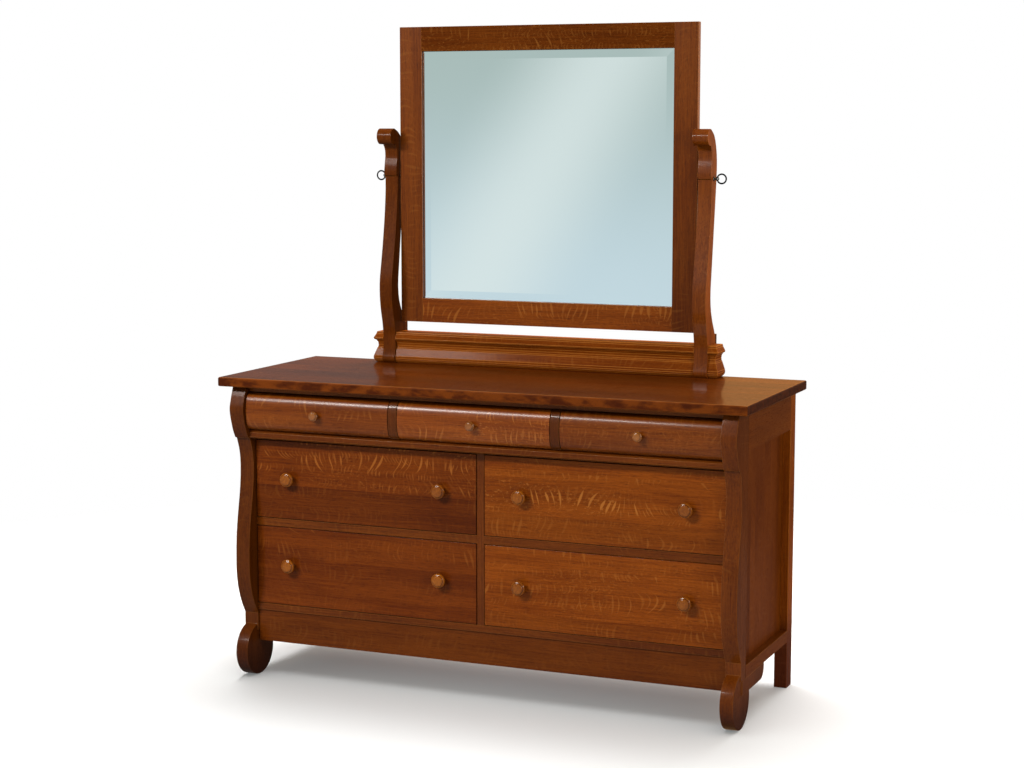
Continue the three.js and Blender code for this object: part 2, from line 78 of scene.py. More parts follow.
def minus(tree, first, second, clamp=False):
    return calc(tree, "SUBTRACT", first, second, clamp)


def times(tree, first, second, clamp=False):
    return calc(tree, "MULTIPLY", first, second, clamp)


def scaled(tree, vector, by):
    """A vector multiplied axis by axis."""
    return wire(tree, "VectorMath", {0: vector, 1: by}, operation="MULTIPLY").outputs[0]


def moved(tree, vector, by):
    """A vector with another added to it."""
    return wire(tree, "VectorMath", {0: vector, 1: by}, operation="ADD").outputs[0]


def noise(tree, vector, scale, detail=2.0, roughness=0.5, colour=False):
    """Noise whose lumps measure one metre divided by the scale, axis by axis."""
    feeds = {"Vector": scaled(tree, vector, scale), "Scale": 1.0, "Detail": detail, "Roughness": roughness}
    return wire(tree, "TexNoise", feeds).outputs["Color" if colour else "Fac"]


def spread(tree, value, low, high, to_low=0.0, to_high=1.0):
    """A value carried from one range onto another, easing in and out, and held at its ends."""
    feeds = {"Value": value, "From Min": low, "From Max": high, "To Min": to_low, "To Max": to_high}
    return wire(tree, "MapRange", feeds, interpolation_type="SMOOTHSTEP").outputs["Result"]


def patchy(tree, vector, scale, detail, low, high):
    """Noise that fades in between two of its values."""
    return spread(tree, noise(tree, vector, scale, detail), low, high)


def mixed(tree, share, first, second, blend="MIX"):
    """The first colour with a share of the second blended in."""
    feeds = {"Factor": share, 6: first, 7: second}
    return wire(tree, "Mix", feeds, data_type="RGBA", blend_type=blend).outputs[2]


def shader_group(name, inputs, outputs):
    """An empty group with named sockets, and its two end nodes."""
    group = bpy.data.node_groups.new(name, "ShaderNodeTree")
    for socket, kind in inputs.items():
        group.interface.new_socket(socket, in_out="INPUT", socket_type="NodeSocket" + kind)
    for socket, kind in outputs.items():
        group.interface.new_socket(socket, in_out="OUTPUT", socket_type="NodeSocket" + kind)
    return group, group.nodes.new("NodeGroupInput").outputs, group.nodes.new("NodeGroupOutput").inputs


def use_group(tree, group, feeds):
    """The outputs of a shader group placed in a tree."""
    return wire(tree, "Group", feeds, node_tree=group).outputs


def object_place(tree):
    """Object coordinates, in metres."""
    return wire(tree, "TexCoord").outputs["Object"]


def mark_share(tree, mark):
    """The share of a mark that the mesh carries, such as its arrises."""
    return wire(tree, "Attribute", attribute_name=mark).outputs["Fac"]


# Wood figure, in grain space: X along the grain, Y across the face, Z into it

CENTRED = (-0.5, -0.5, -0.5)  # brings a colour of noise, which runs from 0 to 1, about nothing
DRIFT = ((2.2, 1.2, 5.0), 1.0)  # lumps of noise to a metre along, across and into the grain, and detail
SLOW_CHANGE = ((5.0, 1.0, 1.0), 1.0)  # the same, with the spread rows as its second axis
ROW_DRIFT = 2.0  # rows by which a row of strokes wanders across the grain
ROW_SPREAD = 3.7  # how unlike two neighbouring rows lean and bend
ROW_START = 17.0  # strokes by which a row may be moved along the grain
CROWD = 5.0  # strokes by which the space between strokes swells and shrinks
LEAN = 13.0  # strokes by which a row's top may lie along the grain from its foot
BEND = 40.0  # strokes for a row's height squared
LIFT = 0.14  # shares of a row's height, and so are the half heights
HALF_HEIGHTS = (0.2, 0.36)
HALF_WIDTHS = (0.12, 0.26)  # shares of the space from stroke to stroke, and so is the soft edge
SOFT_EDGE = (-0.08, 0.14)
FAINT, STRONG = 0.15, 1.0
FAINT_BELOW, STRONG_ABOVE = 0.2, 0.8  # of the stroke's chance number


def ray_strokes_group():
    """Rows of curved strokes across the grain. Neighbours in a row lean and bend alike."""
    group, given, result = shader_group(
        "ray strokes", {"Vector": "Vector", "Pitch": "Float", "Rise": "Float"}, {"Mask": "Float"})
    place = given["Vector"]
    split = wire(group, "SeparateXYZ", {0: place}).outputs
    drift = minus(group, noise(group, place, *DRIFT), 0.5)
    height = plus(group, calc(group, "DIVIDE", split["Y"], given["Rise"]), times(group, drift, ROW_DRIFT))
    row = calc(group, "FLOOR", height)
    up = minus(group, calc(group, "FRACT", height), 0.5)
    squared = times(group, up, up)
    start = wire(group, "TexWhiteNoise", {"W": row}, noise_dimensions="1D").outputs["Value"]
    feeds = {0: split["X"], 1: times(group, row, ROW_SPREAD), 2: split["Z"]}
    slow = noise(group, wire(group, "CombineXYZ", feeds).outputs[0], *SLOW_CHANGE, colour=True)
    lean, bend, crowd = wire(group, "SeparateXYZ", {0: moved(group, slow, CENTRED)}).outputs
    along = plus(group, calc(group, "DIVIDE", split["X"], given["Pitch"]), times(group, start, ROW_START))
    along = plus(group, along, times(group, crowd, CROWD))
    along = plus(group, along, times(group, up, times(group, lean, LEAN)))
    along = plus(group, along, times(group, squared, times(group, bend, BEND)))
    column = calc(group, "FLOOR", along)
    across = calc(group, "ABSOLUTE", minus(group, calc(group, "FRACT", along), 0.5))
    cell = wire(group, "CombineXYZ", {0: column, 1: row}).outputs[0]
    chance = wire(group, "TexWhiteNoise", {"Vector": cell}, noise_dimensions="2D").outputs
    lift, thick, tall = wire(group, "SeparateXYZ", {0: chance["Color"]}).outputs
    up = plus(group, up, spread(group, lift, 0.0, 1.0, -LIFT, LIFT))
    up = calc(group, "DIVIDE", up, spread(group, tall, 0.0, 1.0, *HALF_HEIGHTS))
    width = times(group, spread(group, thick, 0.0, 1.0, *HALF_WIDTHS),
                  minus(group, 1.0, times(group, up, up), clamp=True))
    inside = spread(group, minus(group, width, across), *SOFT_EDGE)
    strength = spread(group, chance["Value"], FAINT_BELOW, STRONG_ABOVE, FAINT, STRONG)
    group.links.new(times(group, inside, strength), result["Mask"])
    return group


RAY_STROKES = ray_strokes_group()
LONG_STROKES = {"Pitch": 18 * MM, "Rise": 85 * MM}
SHORT_STROKES = {"Pitch": 11 * MM, "Rise": 42 * MM}
SHORT_STRENGTH = 0.6
TICK_STRENGTH = 0.5
FLECK_SHOWS = 0.6  # the most of the fleck's colour that covers the wood
ELSEWHERE = (3.17, 1.71, 0.4)  # takes the short strokes away from where the long ones are

# Noise in the wood: lumps to a metre along, across and into the grain, detail, and the roughness or the
# two values between which it fades in
WANDER = ((1.8, 6, 6), 1.0)
RINGS = ((6, 230, 230), 3.0, 0.6)
BROAD_TONES = ((0.9, 22, 22), 3.0)
CLOUDS = ((3.0, 5.0, 5.0), 3.0)
PORES = ((45, 900, 900), 1.0, 0.56, 0.7)
CLUSTERS = ((2.6, 8.5, 8.5), 1.5, 0.36, 0.54)
SCATTER = ((3.0, 9.0, 9.0), 1.5, 0.42, 0.58)
TICKS = ((95, 190, 190), 1.0, 0.58, 0.7)
PATCHES = ((3.4, 7.5, 9.0), 1.0, 0.42, 0.62)

WANDER_BY = (0.02, 0.022, 0.022)  # metres
RING_TONE, BROAD_TONE, CLOUD_TONE = 0.4, 0.3, 0.3  # their shares of the tone
DARK_BELOW, LIGHT_ABOVE = 0.38, 0.62  # of the tone
PORE_DARK = 0.45
SATIN = 0.36  # roughness of sound wood, and below, what pores, fleck and clouds change in it
PORE_DULL, FLECK_BRIGHT, CLOUD_DULL = 0.16, 0.06, 0.06
RING_RISE, PORE_DIP, FLECK_RISE = 0.5, 0.8, 0.15


def oak_figure_group():
    """Growth rings, pores and ray fleck of quartersawn oak under a brown stain."""
    group, given, result = shader_group(
        "quartersawn oak figure",
        {"Vector": "Vector", "Light": "Color", "Dark": "Color", "Fleck": "Color", "Fleck Amount": "Float"},
        {"Color": "Color", "Roughness": "Float", "Height": "Float"})
    place = given["Vector"]
    wander = moved(group, noise(group, place, *WANDER, colour=True), CENTRED)
    grain = moved(group, place, scaled(group, wander, WANDER_BY))
    rings = noise(group, grain, *RINGS)
    broad = noise(group, grain, *BROAD_TONES)
    cloud = noise(group, place, *CLOUDS)
    tone = plus(group, times(group, rings, RING_TONE), times(group, broad, BROAD_TONE))
    tone = plus(group, tone, times(group, cloud, CLOUD_TONE))
    base = mixed(group, spread(group, tone, DARK_BELOW, LIGHT_ABOVE), given["Dark"], given["Light"])
    pores = patchy(group, grain, *PORES)
    base = mixed(group, times(group, pores, PORE_DARK), base, given["Dark"], "MULTIPLY")
    strokes = use_group(group, RAY_STROKES, {"Vector": place, **LONG_STROKES})["Mask"]
    strokes = times(group, strokes, patchy(group, place, *CLUSTERS))
    elsewhere = moved(group, place, ELSEWHERE)
    short = use_group(group, RAY_STROKES, {"Vector": elsewhere, **SHORT_STROKES})["Mask"]
    short = times(group, times(group, short, patchy(group, elsewhere, *SCATTER)), SHORT_STRENGTH)
    strokes = calc(group, "MAXIMUM", strokes, short)
    ticks = patchy(group, grain, *TICKS)
    ticks = times(group, times(group, ticks, patchy(group, place, *PATCHES)), TICK_STRENGTH)
    fleck = times(group, calc(group, "MAXIMUM", strokes, ticks), given["Fleck Amount"], clamp=True)
    group.links.new(mixed(group, times(group, fleck, FLECK_SHOWS), base, given["Fleck"]), result["Color"])
    rough = plus(group, SATIN, times(group, pores, PORE_DULL))
    rough = minus(group, rough, times(group, fleck, FLECK_BRIGHT))
    group.links.new(plus(group, rough, times(group, cloud, CLOUD_DULL)), result["Roughness"])
    height = minus(group, times(group, rings, RING_RISE), times(group, pores, PORE_DIP))
    group.links.new(plus(group, height, times(group, fleck, FLECK_RISE)), result["Height"])
    return group


JOINT_LINE = 0.006  # half a joint's width, as a share of the board's


def glued_boards_group():
    """Boards glued edge to edge: each has its own figure and tone, with a fine line at the joint."""
    group, given, result = shader_group(
        "glued up boards", {"Vector": "Vector", "Board Width": "Float", "Offset": "Float"},
        {"Board": "Color", "Tone": "Float", "Joint": "Float"})
    split = wire(group, "SeparateXYZ", {0: given["Vector"]}).outputs
    across = plus(group, calc(group, "DIVIDE", split["Y"], given["Board Width"]), given["Offset"])
    board = calc(group, "FLOOR", across)
    chance = wire(group, "TexWhiteNoise", {"W": board}, noise_dimensions="1D").outputs
    group.links.new(chance["Color"], result["Board"])
    group.links.new(chance["Value"], result["Tone"])
    edge = calc(group, "PINGPONG", calc(group, "FRACT", across), 0.5)
    group.links.new(spread(group, edge, 0.0, JOINT_LINE, 1.0, 0.0), result["Joint"])
    return group


OAK_FIGURE = oak_figure_group()
GLUED_BOARDS = glued_boards_group()


def grain_space(tree, grain, shift):
    """Object coordinates turned so that the grain runs along X; grain names the three axes in order."""
    place = object_place(tree)
    split = wire(tree, "SeparateXYZ", {0: place}).outputs
    turned_round = wire(tree, "CombineXYZ", {i: split[axis] for i, axis in enumerate(grain)}).outputs[0]
    return wire(tree, "Mapping", {"Vector": turned_round, "Location": shift}).outputs[0]


def new_material(name):
    """A material, its node tree and its surface shader."""
    material = bpy.data.materials.new(name)
    material.use_nodes = True
    return material, material.node_tree, material.node_tree.nodes["Principled BSDF"]


def relief(tree, finish, height, strength, depth, sunk=False):
    """Fine relief on the surface, which rises with the height or sinks with it."""
    feeds = {"Height": height, "Strength": strength, "Distance": depth}
    tree.links.new(wire(tree, "Bump", feeds, invert=sunk).outputs[0], finish.inputs["Normal"])


LACQUER_IOR = 1.12
JOINT_DARK = 0.5
OAK_RELIEF = (0.12, 0.4 * MM)  # strength and depth, as for the other reliefs
GLAZE_AND_SHADE = (0.4, 0.33, 0.3, 1)  # brown glaze and painted shade in the knobs' hollows, and painted shade lines at the drawer fronts' edges
GLAZE_AND_SHADE_DEPTH = 0.85
PAINTED_FLOOR_SHADE = (0.42, 0.34, 0.8, 1)  # painted shade: darkens the wood near the floor, under the case and at the feet
FULL_BAND_SHARE = 0.7  # of a band of fleck, beyond which it fades
OTHER_BOARD = (9.0, 5.0, 7.0)  # metres of oak between the figures of two glued boards


def stained_oak(name, grain, shift=(0, 0, 0), light=(0.175, 0.0385, 0.0022),
                dark=(0.105, 0.0195, 0.0008), fleck=(0.35, 0.122, 0.02), amount=0.6, bands=(),
                boards=None, tones=0.3, tone=1.0, coat=0.06, coat_roughness=0.12, dulled=0.0,
                arris_wear_and_highlight=0.45, painted_shade_heights=None, ior=LACQUER_IOR):
    """Stained and lacquered oak. Amount is how much ray fleck shows everywhere. Bands add more: each has its
    place across the grain, half its width and its strength. Boards are the width and offset of boards glued
    edge to edge, and tones is how much they differ. Arris wear and highlight is how light the arrises are,
    partly as wear and partly as a painted highlight line. Painted shade heights are the two heights between
    which painted shade near the floor fades out."""
    material, tree, finish = new_material(name)
    place = grain_space(tree, grain, shift)
    figure_place = place
    if boards:
        glued = use_group(tree, GLUED_BOARDS,
                          {"Vector": place, "Board Width": boards[0], "Offset": boards[1]})
        figure_place = moved(tree, place, scaled(tree, glued["Board"], OTHER_BOARD))
    flecks = amount
    if bands:
        across = wire(tree, "SeparateXYZ", {0: place}).outputs["Y"]
        for centre, half, strength in bands:
            away = calc(tree, "ABSOLUTE", minus(tree, across, centre))
            flecks = plus(tree, spread(tree, away, half * FULL_BAND_SHARE, half, strength, 0.0), flecks)
    light, dark, fleck = [(*(c * tone for c in colour), 1) for colour in (light, dark, fleck)]
    oak = use_group(tree, OAK_FIGURE, {
        "Vector": figure_place, "Light": light, "Dark": dark, "Fleck": fleck, "Fleck Amount": flecks})
    colour = oak["Color"]
    if boards:
        value = spread(tree, glued["Tone"], 0.0, 1.0, 1 - tones, 1 + tones)
        colour = wire(tree, "HueSaturation", {"Color": colour, "Value": value}).outputs[0]
        colour = mixed(tree, times(tree, glued["Joint"], JOINT_DARK), colour, dark)
    # Arrises lighten towards the fleck colour: partly wear, partly a painted highlight line.
    arris = mark_share(tree, "arris")
    colour = mixed(tree, times(tree, arris, arris_wear_and_highlight), colour, fleck)
    # The hollow mark darkens: glaze and painted shade in the knobs' hollows, painted shade lines at the
    # drawer fronts' edges.
    glaze_and_shade = mark_share(tree, "glaze_and_shade")
    colour = mixed(tree, times(tree, glaze_and_shade, GLAZE_AND_SHADE_DEPTH), colour, GLAZE_AND_SHADE, "MULTIPLY")
    # Painted shade: the wood darkens towards the floor.
    if painted_shade_heights:
        height = wire(tree, "SeparateXYZ", {0: object_place(tree)}).outputs["Z"]
        colour = mixed(tree, spread(tree, height, *painted_shade_heights, 1.0, 0.0), colour, PAINTED_FLOOR_SHADE, "MULTIPLY")
    tree.links.new(colour, finish.inputs["Base Color"])
    tree.links.new(plus(tree, oak["Roughness"], dulled), finish.inputs["Roughness"])
    relief(tree, finish, oak["Height"], *OAK_RELIEF)
    finish.inputs["IOR"].default_value = ior
    finish.inputs["Coat Weight"].default_value = coat
    finish.inputs["Coat Roughness"].default_value = coat_roughness
    return material


PORE_SCALE = 14  # pores to a blotch
EDGE_PORES_FROM, EDGE_PORES_FULL = 0.55, 0.7
EDGE_PORE_DARK = 0.4
EDGE_WEAR_AND_HIGHLIGHT = 0.6
EDGE_ROUGHNESS = (0.4, 0.55)  # of sound wood and of pores
EDGE_RELIEF = (0.1, 0.3 * MM)


def blotched_edge(name, light, dark, scale):
    """Flat-sawn figure or end grain, dark and blotchy where the stain soaks in."""
    material, tree, finish = new_material(name)
    place = object_place(tree)
    blotches = noise(tree, place, scale, 3.0, 0.6)
    pores = patchy(tree, place, [n * PORE_SCALE for n in scale], 2.0, EDGE_PORES_FROM, EDGE_PORES_FULL)
    colour = mixed(tree, spread(tree, blotches, DARK_BELOW, LIGHT_ABOVE), (*dark, 1), (*light, 1))
    colour = mixed(tree, times(tree, pores, EDGE_PORE_DARK), colour, (*dark, 1), "MULTIPLY")
    # Arrises lighten towards the light colour: partly wear, partly a painted highlight line.
    arris = mark_share(tree, "arris")
    colour = mixed(tree, times(tree, arris, EDGE_WEAR_AND_HIGHLIGHT), colour, (*light, 1))
    tree.links.new(colour, finish.inputs["Base Color"])
    tree.links.new(spread(tree, pores, 0.0, 1.0, *EDGE_ROUGHNESS), finish.inputs["Roughness"])
    relief(tree, finish, pores, *EDGE_RELIEF, sunk=True)
    finish.inputs["IOR"].default_value = LACQUER_IOR
    return material


GLASS_TINTS = ((0.88, 0.92, 0.92, 1), (0.91, 0.94, 0.94, 1))
GLASS_ROUGHNESS = (0.01, 0.03)
GLASS_HAZE = ((3, 3, 3), 2.0)


def silvered_glass():
    """Mirror glass with a cool cast, a touch duller in places."""
    material, tree, finish = new_material("silvered glass")
    place = object_place(tree)
    haze = noise(tree, place, *GLASS_HAZE)
    tree.links.new(mixed(tree, haze, *GLASS_TINTS), finish.inputs["Base Color"])
    tree.links.new(spread(tree, haze, 0.0, 1.0, *GLASS_ROUGHNESS), finish.inputs["Roughness"])
    finish.inputs["Metallic"].default_value = 1.0
    return material


TARNISH = ((160, 160, 160), 3.0)
DULL_BELOW, BRIGHT_ABOVE = 0.35, 0.65  # of the tarnish
METAL_ROUGHNESS = (0.3, 0.7, 0.48, 0.28)  # two values of the tarnish, and the roughness there
METAL_RELIEF = (0.1, 0.2 * MM)


def worn_metal(name, dull, bright):
    """Metal that is dull in some places and brighter and smoother in others."""
    material, tree, finish = new_material(name)
    place = object_place(tree)
    tarnish = noise(tree, place, *TARNISH)
    colour = mixed(tree, spread(tree, tarnish, DULL_BELOW, BRIGHT_ABOVE), (*dull, 1), (*bright, 1))
    tree.links.new(colour, finish.inputs["Base Color"])
    tree.links.new(spread(tree, tarnish, *METAL_ROUGHNESS), finish.inputs["Roughness"])
    relief(tree, finish, tarnish, *METAL_RELIEF)
    finish.inputs["Metallic"].default_value = 1.0
    return material


FIBRES = ((380, 380, 380), 4.0, 0.7)
FIBRE_TINTS = ((0.12, 0.062, 0.03, 1), (0.24, 0.135, 0.068, 1))
FIBRE_ROUGHNESS = (0.2, 0.8, 0.75, 0.55)  # two values of the fibres, and the roughness there
FIBRE_RELIEF = (0.2, 0.3 * MM)
BOARD_STAIN = ((5, 5, 5), 3.0)
STAIN_TINT = (0.10, 0.05, 0.025, 1)
STAIN_SHARE = 0.4


def hardboard():
    """Brown pressed board behind the mirror glass."""
    material, tree, finish = new_material("mirror backing board")
    place = object_place(tree)
    fibres = noise(tree, place, *FIBRES)
    stain = noise(tree, place, *BOARD_STAIN)
    colour = mixed(tree, fibres, *FIBRE_TINTS)
    colour = mixed(tree, times(tree, stain, STAIN_SHARE), colour, STAIN_TINT)
    tree.links.new(colour, finish.inputs["Base Color"])
    tree.links.new(spread(tree, fibres, *FIBRE_ROUGHNESS), finish.inputs["Roughness"])
    relief(tree, finish, fibres, *FIBRE_RELIEF)
    return material


PALE = {"light": (0.52, 0.30, 0.135), "dark": (0.33, 0.165, 0.066), "fleck": (0.62, 0.40, 0.20), "coat": 0.0,
        "dulled": 0.1}
DEEP = {"light": (0.103, 0.02, 0.0009), "dark": (0.06, 0.0098, 0.0003), "fleck": (0.25, 0.078, 0.012)}
DRAWER_FRONTS = {
    "upper_left_drawer": stained_oak(
        "upper left drawer front", "XZY", (0.3, 0.02, 0), amount=0.2, boards=(0.125, 0.2), tones=0.16,
        bands=[(0.675, 0.075, 0.8)], tone=1.03, **DEEP),
    "upper_right_drawer": stained_oak(
        "upper right drawer front", "XZY", (2.1, 0.0, 0.4), amount=0.38, boards=(0.125, 0.6), tones=0.12,
        bands=[(0.60, 0.05, 0.75)], tone=0.9),
    "lower_left_drawer": stained_oak(
        "lower left drawer front", "XZY", (4.2, 0.0, 0.9), amount=0.15, boards=(0.14, 0.4), tones=0.1,
        bands=[(0.42, 0.05, 0.2)], **DEEP),
    "lower_right_drawer": stained_oak(
        "lower right drawer front", "XZY", (6.3, 0.0, 1.3), amount=0.35, boards=(0.14, 0.1), tones=0.1,
        bands=[(0.33, 0.09, 0.1)], tone=0.94),
}
SMALL_FRONTS = {
    "small_left_drawer": stained_oak(
        "small left drawer front", "XZY", (8.0, 0.3, 0), amount=0.35, bands=[(1.115, 0.03, 0.2)],
        tone=0.75, coat=0.25, coat_roughness=0.21, ior=1.08),
    "small_middle_drawer": stained_oak(
        "small middle drawer front", "XZY", (8.6, 0.3, 0.4), amount=0.8, bands=[(1.115, 0.03, 0.5)],
        tone=0.98, coat=0.32, coat_roughness=0.21, ior=1.08),
    "small_right_drawer": stained_oak(
        "small right drawer front", "XZY", (7.3, 0.3, 0.8), amount=0.3, bands=[(1.115, 0.03, 0.2)],
        tone=0.75, coat=0.25, coat_roughness=0.21, ior=1.08),
}
TOP_OAK = stained_oak("top board oak", "XYZ", (1.0, 0, 0), light=(0.082, 0.0155, 0.0008),
                      dark=(0.044, 0.0072, 0.0003), amount=0.15, boards=(0.118, 0.5), tones=0.16,
                      coat=0.42, coat_roughness=0.09)
RAIL_OAK = stained_oak("rail oak", "XZY", (5.0, 0.5, 0.2), amount=0.25, tone=0.56, coat=0.1)
# Painted light: lighter than the other rails, for light under the top board's overhang, where it lies in
# shade.
TOP_RAIL_LIT_OAK = stained_oak("top rail oak", "XZY", (5.9, 0.7, 0.2), amount=0.2, tone=1.0, coat=0.1)
# Its arrises are much lighter: painted highlight lines along the moulding.
PLINTH_OAK = stained_oak("plinth oak", "XZY", (5.5, 0.9, 0.8), amount=0.25, tone=1.42, coat=0.06, arris_wear_and_highlight=0.85,
                         ior=1.06)
APRON_OAK = stained_oak("apron oak", "XZY", (3.3, 0.9, 0.4), amount=0.2, tone=0.55)
# The front posts darken near the floor: painted shade at their feet.
POST_OAK = stained_oak("post oak", "ZXY", (2.0, 0.0, 0.7), amount=0.2, tone=0.58, coat=0.12, arris_wear_and_highlight=0.2,
                       painted_shade_heights=(0.0, 0.13))
DIVIDER_OAK = stained_oak("divider oak", "ZXY", (2.9, 0.7, 0.7), amount=0.1, tone=0.4, coat=0.14)
LEFT_POST_OAK = stained_oak("left post oak", "ZXY", (2.6, 0.3, 0.7), amount=0.2, tone=0.4, coat=0.08,
                            arris_wear_and_highlight=0.2, painted_shade_heights=(0.0, 0.13))
FRONT_POST_OAK = {"left": LEFT_POST_OAK, "right": POST_OAK}
HARP_OAK = {
    "left": stained_oak("left harp oak", "ZXY", (7.0, 0.4, 0.7), amount=0.2, tone=0.48, coat=0.05, ior=1.08),
    "right": stained_oak("right harp oak", "ZXY", (7.9, 0.1, 0.4), amount=0.2, tone=0.74, coat=0.14),
}
SIDE_OAK = stained_oak("side oak", "ZYX", (4.0, 0.3, 0.1), amount=0.2, boards=(0.13, 0.3), tones=0.08,
                       tone=0.68, coat=0.02)
# Painted light and shade: lighter than the sides, for the lit rear stile, and darker low down, for the leg in
# shade under the case.
REAR_POST_OAK = stained_oak("rear post oak", "ZYX", (4.6, 0.1, 0.5), amount=0.2, tone=1.15, coat=0.02,
                            painted_shade_heights=(0.12, 0.25))
SIDE_RAIL_OAK = stained_oak("side rail oak", "YZX", (6.0, 0.3, 0.1), amount=0.2, tone=0.66, coat=0.02)
FRAME_TOP_OAK = stained_oak("mirror top rail oak", "XZY", (9.0, 0.9, 0.4), amount=0.9, tone=0.49,
                            coat=0.0, ior=1.05)
FRAME_BOTTOM_OAK = stained_oak("mirror bottom rail oak", "XZY", (9.6, 0.9, 0.8), amount=0.6, tone=0.92)
# Painted light: the frame's side faces are far lighter, for the pale sheen they catch at a grazing view.
FRAME_SIDE_LIT_OAK = stained_oak("mirror frame edge oak", "ZYX", (9.0, 0.9, 0.4), amount=0.1, tone=1.5, coat=0.8)
FRAME_STILE_OAK = stained_oak("mirror stile oak", "ZXY", (9.0, 0.9, 0.4), amount=0.3, tone=0.62)
KNOB_OAK = stained_oak("knob oak", "YXZ", (0.5, 0.1, 0.2), amount=0.1, light=(0.205, 0.056, 0.002),
                       dark=(0.122, 0.029, 0.001), coat=0.35, coat_roughness=0.08)
SMALL_KNOB_OAK = stained_oak("small knob oak", "YXZ", (0.5, 0.4, 0.2), amount=0.1, light=(0.21, 0.064, 0.004),
                             dark=(0.13, 0.034, 0.0015), coat=1.0, coat_roughness=0.06)
TOP_EDGE_OAK = blotched_edge(
    "top board edge", light=(0.1, 0.021, 0.0016), dark=(0.038, 0.0062, 0.0006), scale=(17, 17, 34))
END_GRAIN_OAK = blotched_edge(
    "end grain oak", light=(0.055, 0.011, 0.003), dark=(0.025, 0.005, 0.002), scale=(60, 60, 60))
# Painted light: far lighter than the harp posts' fronts, for the light their outer faces catch.
HARP_SIDE_LIT_OAK = stained_oak("harp side oak", "ZYX", (0.2, 0.7, 0.3), amount=0.1, tone=1.6, coat=0.1)
BOX_OAK = stained_oak("drawer side oak", "YZX", (0.7, 0.2, 0.9), amount=0.3, **PALE)
BOX_END_OAK = stained_oak("drawer end oak", "XZY", (0.9, 0.2, 0.4), amount=0.3, **PALE)
BOX_END_GRAIN = blotched_edge(
    "drawer end grain", light=(0.36, 0.19, 0.08), dark=(0.24, 0.12, 0.046), scale=(60, 60, 60))
BOX_VENEER = stained_oak("drawer bottom veneer", "XYZ", (1.9, 0.2, 0.4), amount=0.1, **PALE)
BACK_PANEL = stained_oak("back panel veneer", "ZXY", (3.9, 0.2, 0.4), amount=0.1, boards=(0.3, 0.5),
                         tones=0.05, light=(0.26, 0.10, 0.026), dark=(0.15, 0.05, 0.012), coat=0.0,
                         dulled=0.2)
GLASS = silvered_glass()
PEWTER = worn_metal("aged pewter", dull=(0.09, 0.088, 0.08), bright=(0.27, 0.27, 0.25))
STEEL = worn_metal("zinc plated steel", dull=(0.30, 0.29, 0.26), bright=(0.48, 0.47, 0.43))
HARDBOARD = hardboard()


# Shapes

SAME_PLACE = 0.01 * MM  # corners nearer than this are one
SAME_TURNED = 0.001 * MM  # the same for new shapes, whose corners may lie closer
FLAT_WITHIN = math.radians(0.5)
SMOOTH_BELOW = 35  # degrees, as are the next three: two faces that turn by less shade as one curve
KNOB_SMOOTH_BELOW = 50
ARRIS_ABOVE = 30  # two faces that turn by more meet in an arris
MOULDING_ARRIS_ABOVE = 10
SQUARE_TO = 0.9  # a face is square to an axis when its normal has this much of it
LEANS_TO = 0.6  # and belongs to a board's edge, arris and all, when it has this much

# Widths by which arrises are rounded
POST_EASE = 1.6 * MM
WIDE_FRONT_EASE = 1.4 * MM
LEG_EASE = 1.2 * MM  # cleats and small fronts too
SIDE_RAIL_EASE = 1.0 * MM
FRAME_EASE = 0.9 * MM  # boards inside the case, and the mirror's frame and posts
EDGE_EASE = 0.8 * MM  # top board, apron and dividers
MOULDING_EASE = 0.6 * MM  # the top rail too
SHEET_EASE = 0.5 * MM  # back panel and backing board
PANEL_EASE = 0.4 * MM
BUTTON_EASE = 0.35 * MM
BOX_EASE = 0.3 * MM


def finished(bm, name, materials, body, stands_for=(), smooth_below=SMOOTH_BELOW):
    """The piece made of a bmesh: smooth on its curves, crisp at its edges, riding on its body."""
    mesh = bpy.data.meshes.new(name)
    bm.to_mesh(mesh)
    bm.free()
    for material in materials:
        mesh.materials.append(material)
    mesh.polygons.foreach_set("use_smooth", [True] * len(mesh.polygons))
    mesh.set_sharp_from_angle(angle=math.radians(smooth_below))
    piece = bpy.data.objects.new(name, mesh)
    bpy.context.scene.collection.objects.link(piece)
    weighted = piece.modifiers.new("even shading", "WEIGHTED_NORMAL")
    weighted.keep_sharp = True
    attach(piece, body)
    if stands_for:
        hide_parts(*stands_for)
    return piece


def ease_edges(bm, width, glued="", sharper_than=ARRIS_ABOVE, mark="arris", bores=()):
    """Rounds the arrises and marks them with the given mark: as arris, lightened as wear and painted
    highlight, or darkened as painted shade. Those in the end planes of the glued axes stay sharp, and so do
    those of bores, each given as the node that sits in it and its axis."""
    marks = bm.loops.layers.float.new(mark)
    low = [min(v.co[i] for v in bm.verts) for i in range(3)]
    high = [max(v.co[i] for v in bm.verts) for i in range(3)]

    def in_joint(edge):
        for axis in glued:
            i = "xyz".index(axis)
            for end in (low[i], high[i]):
                if all(abs(v.co[i] - end) < SAME_PLACE for v in edge.verts):
                    return True
        return False

    fitted = [(*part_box(node), [i for i in range(3) if "xyz"[i] != axis]) for node, axis in bores]

    def in_bore(edge):
        return any(all(start[i] <= v.co[i] <= end[i] for v in edge.verts for i in across)
                   for start, end, across in fitted)

    sharp = [e for e in bm.edges if len(e.link_faces) == 2 and not in_joint(e) and not in_bore(e)
             and e.calc_face_angle() > math.radians(sharper_than)]
    made = bmesh.ops.bevel(bm, geom=sharp, offset=width, offset_type="OFFSET", segments=2, profile=0.5,
                           affect="EDGES", material=-1, clamp_overlap=True)
    for face in made["faces"]:
        for loop in face.loops:
            loop[marks] = 1.0


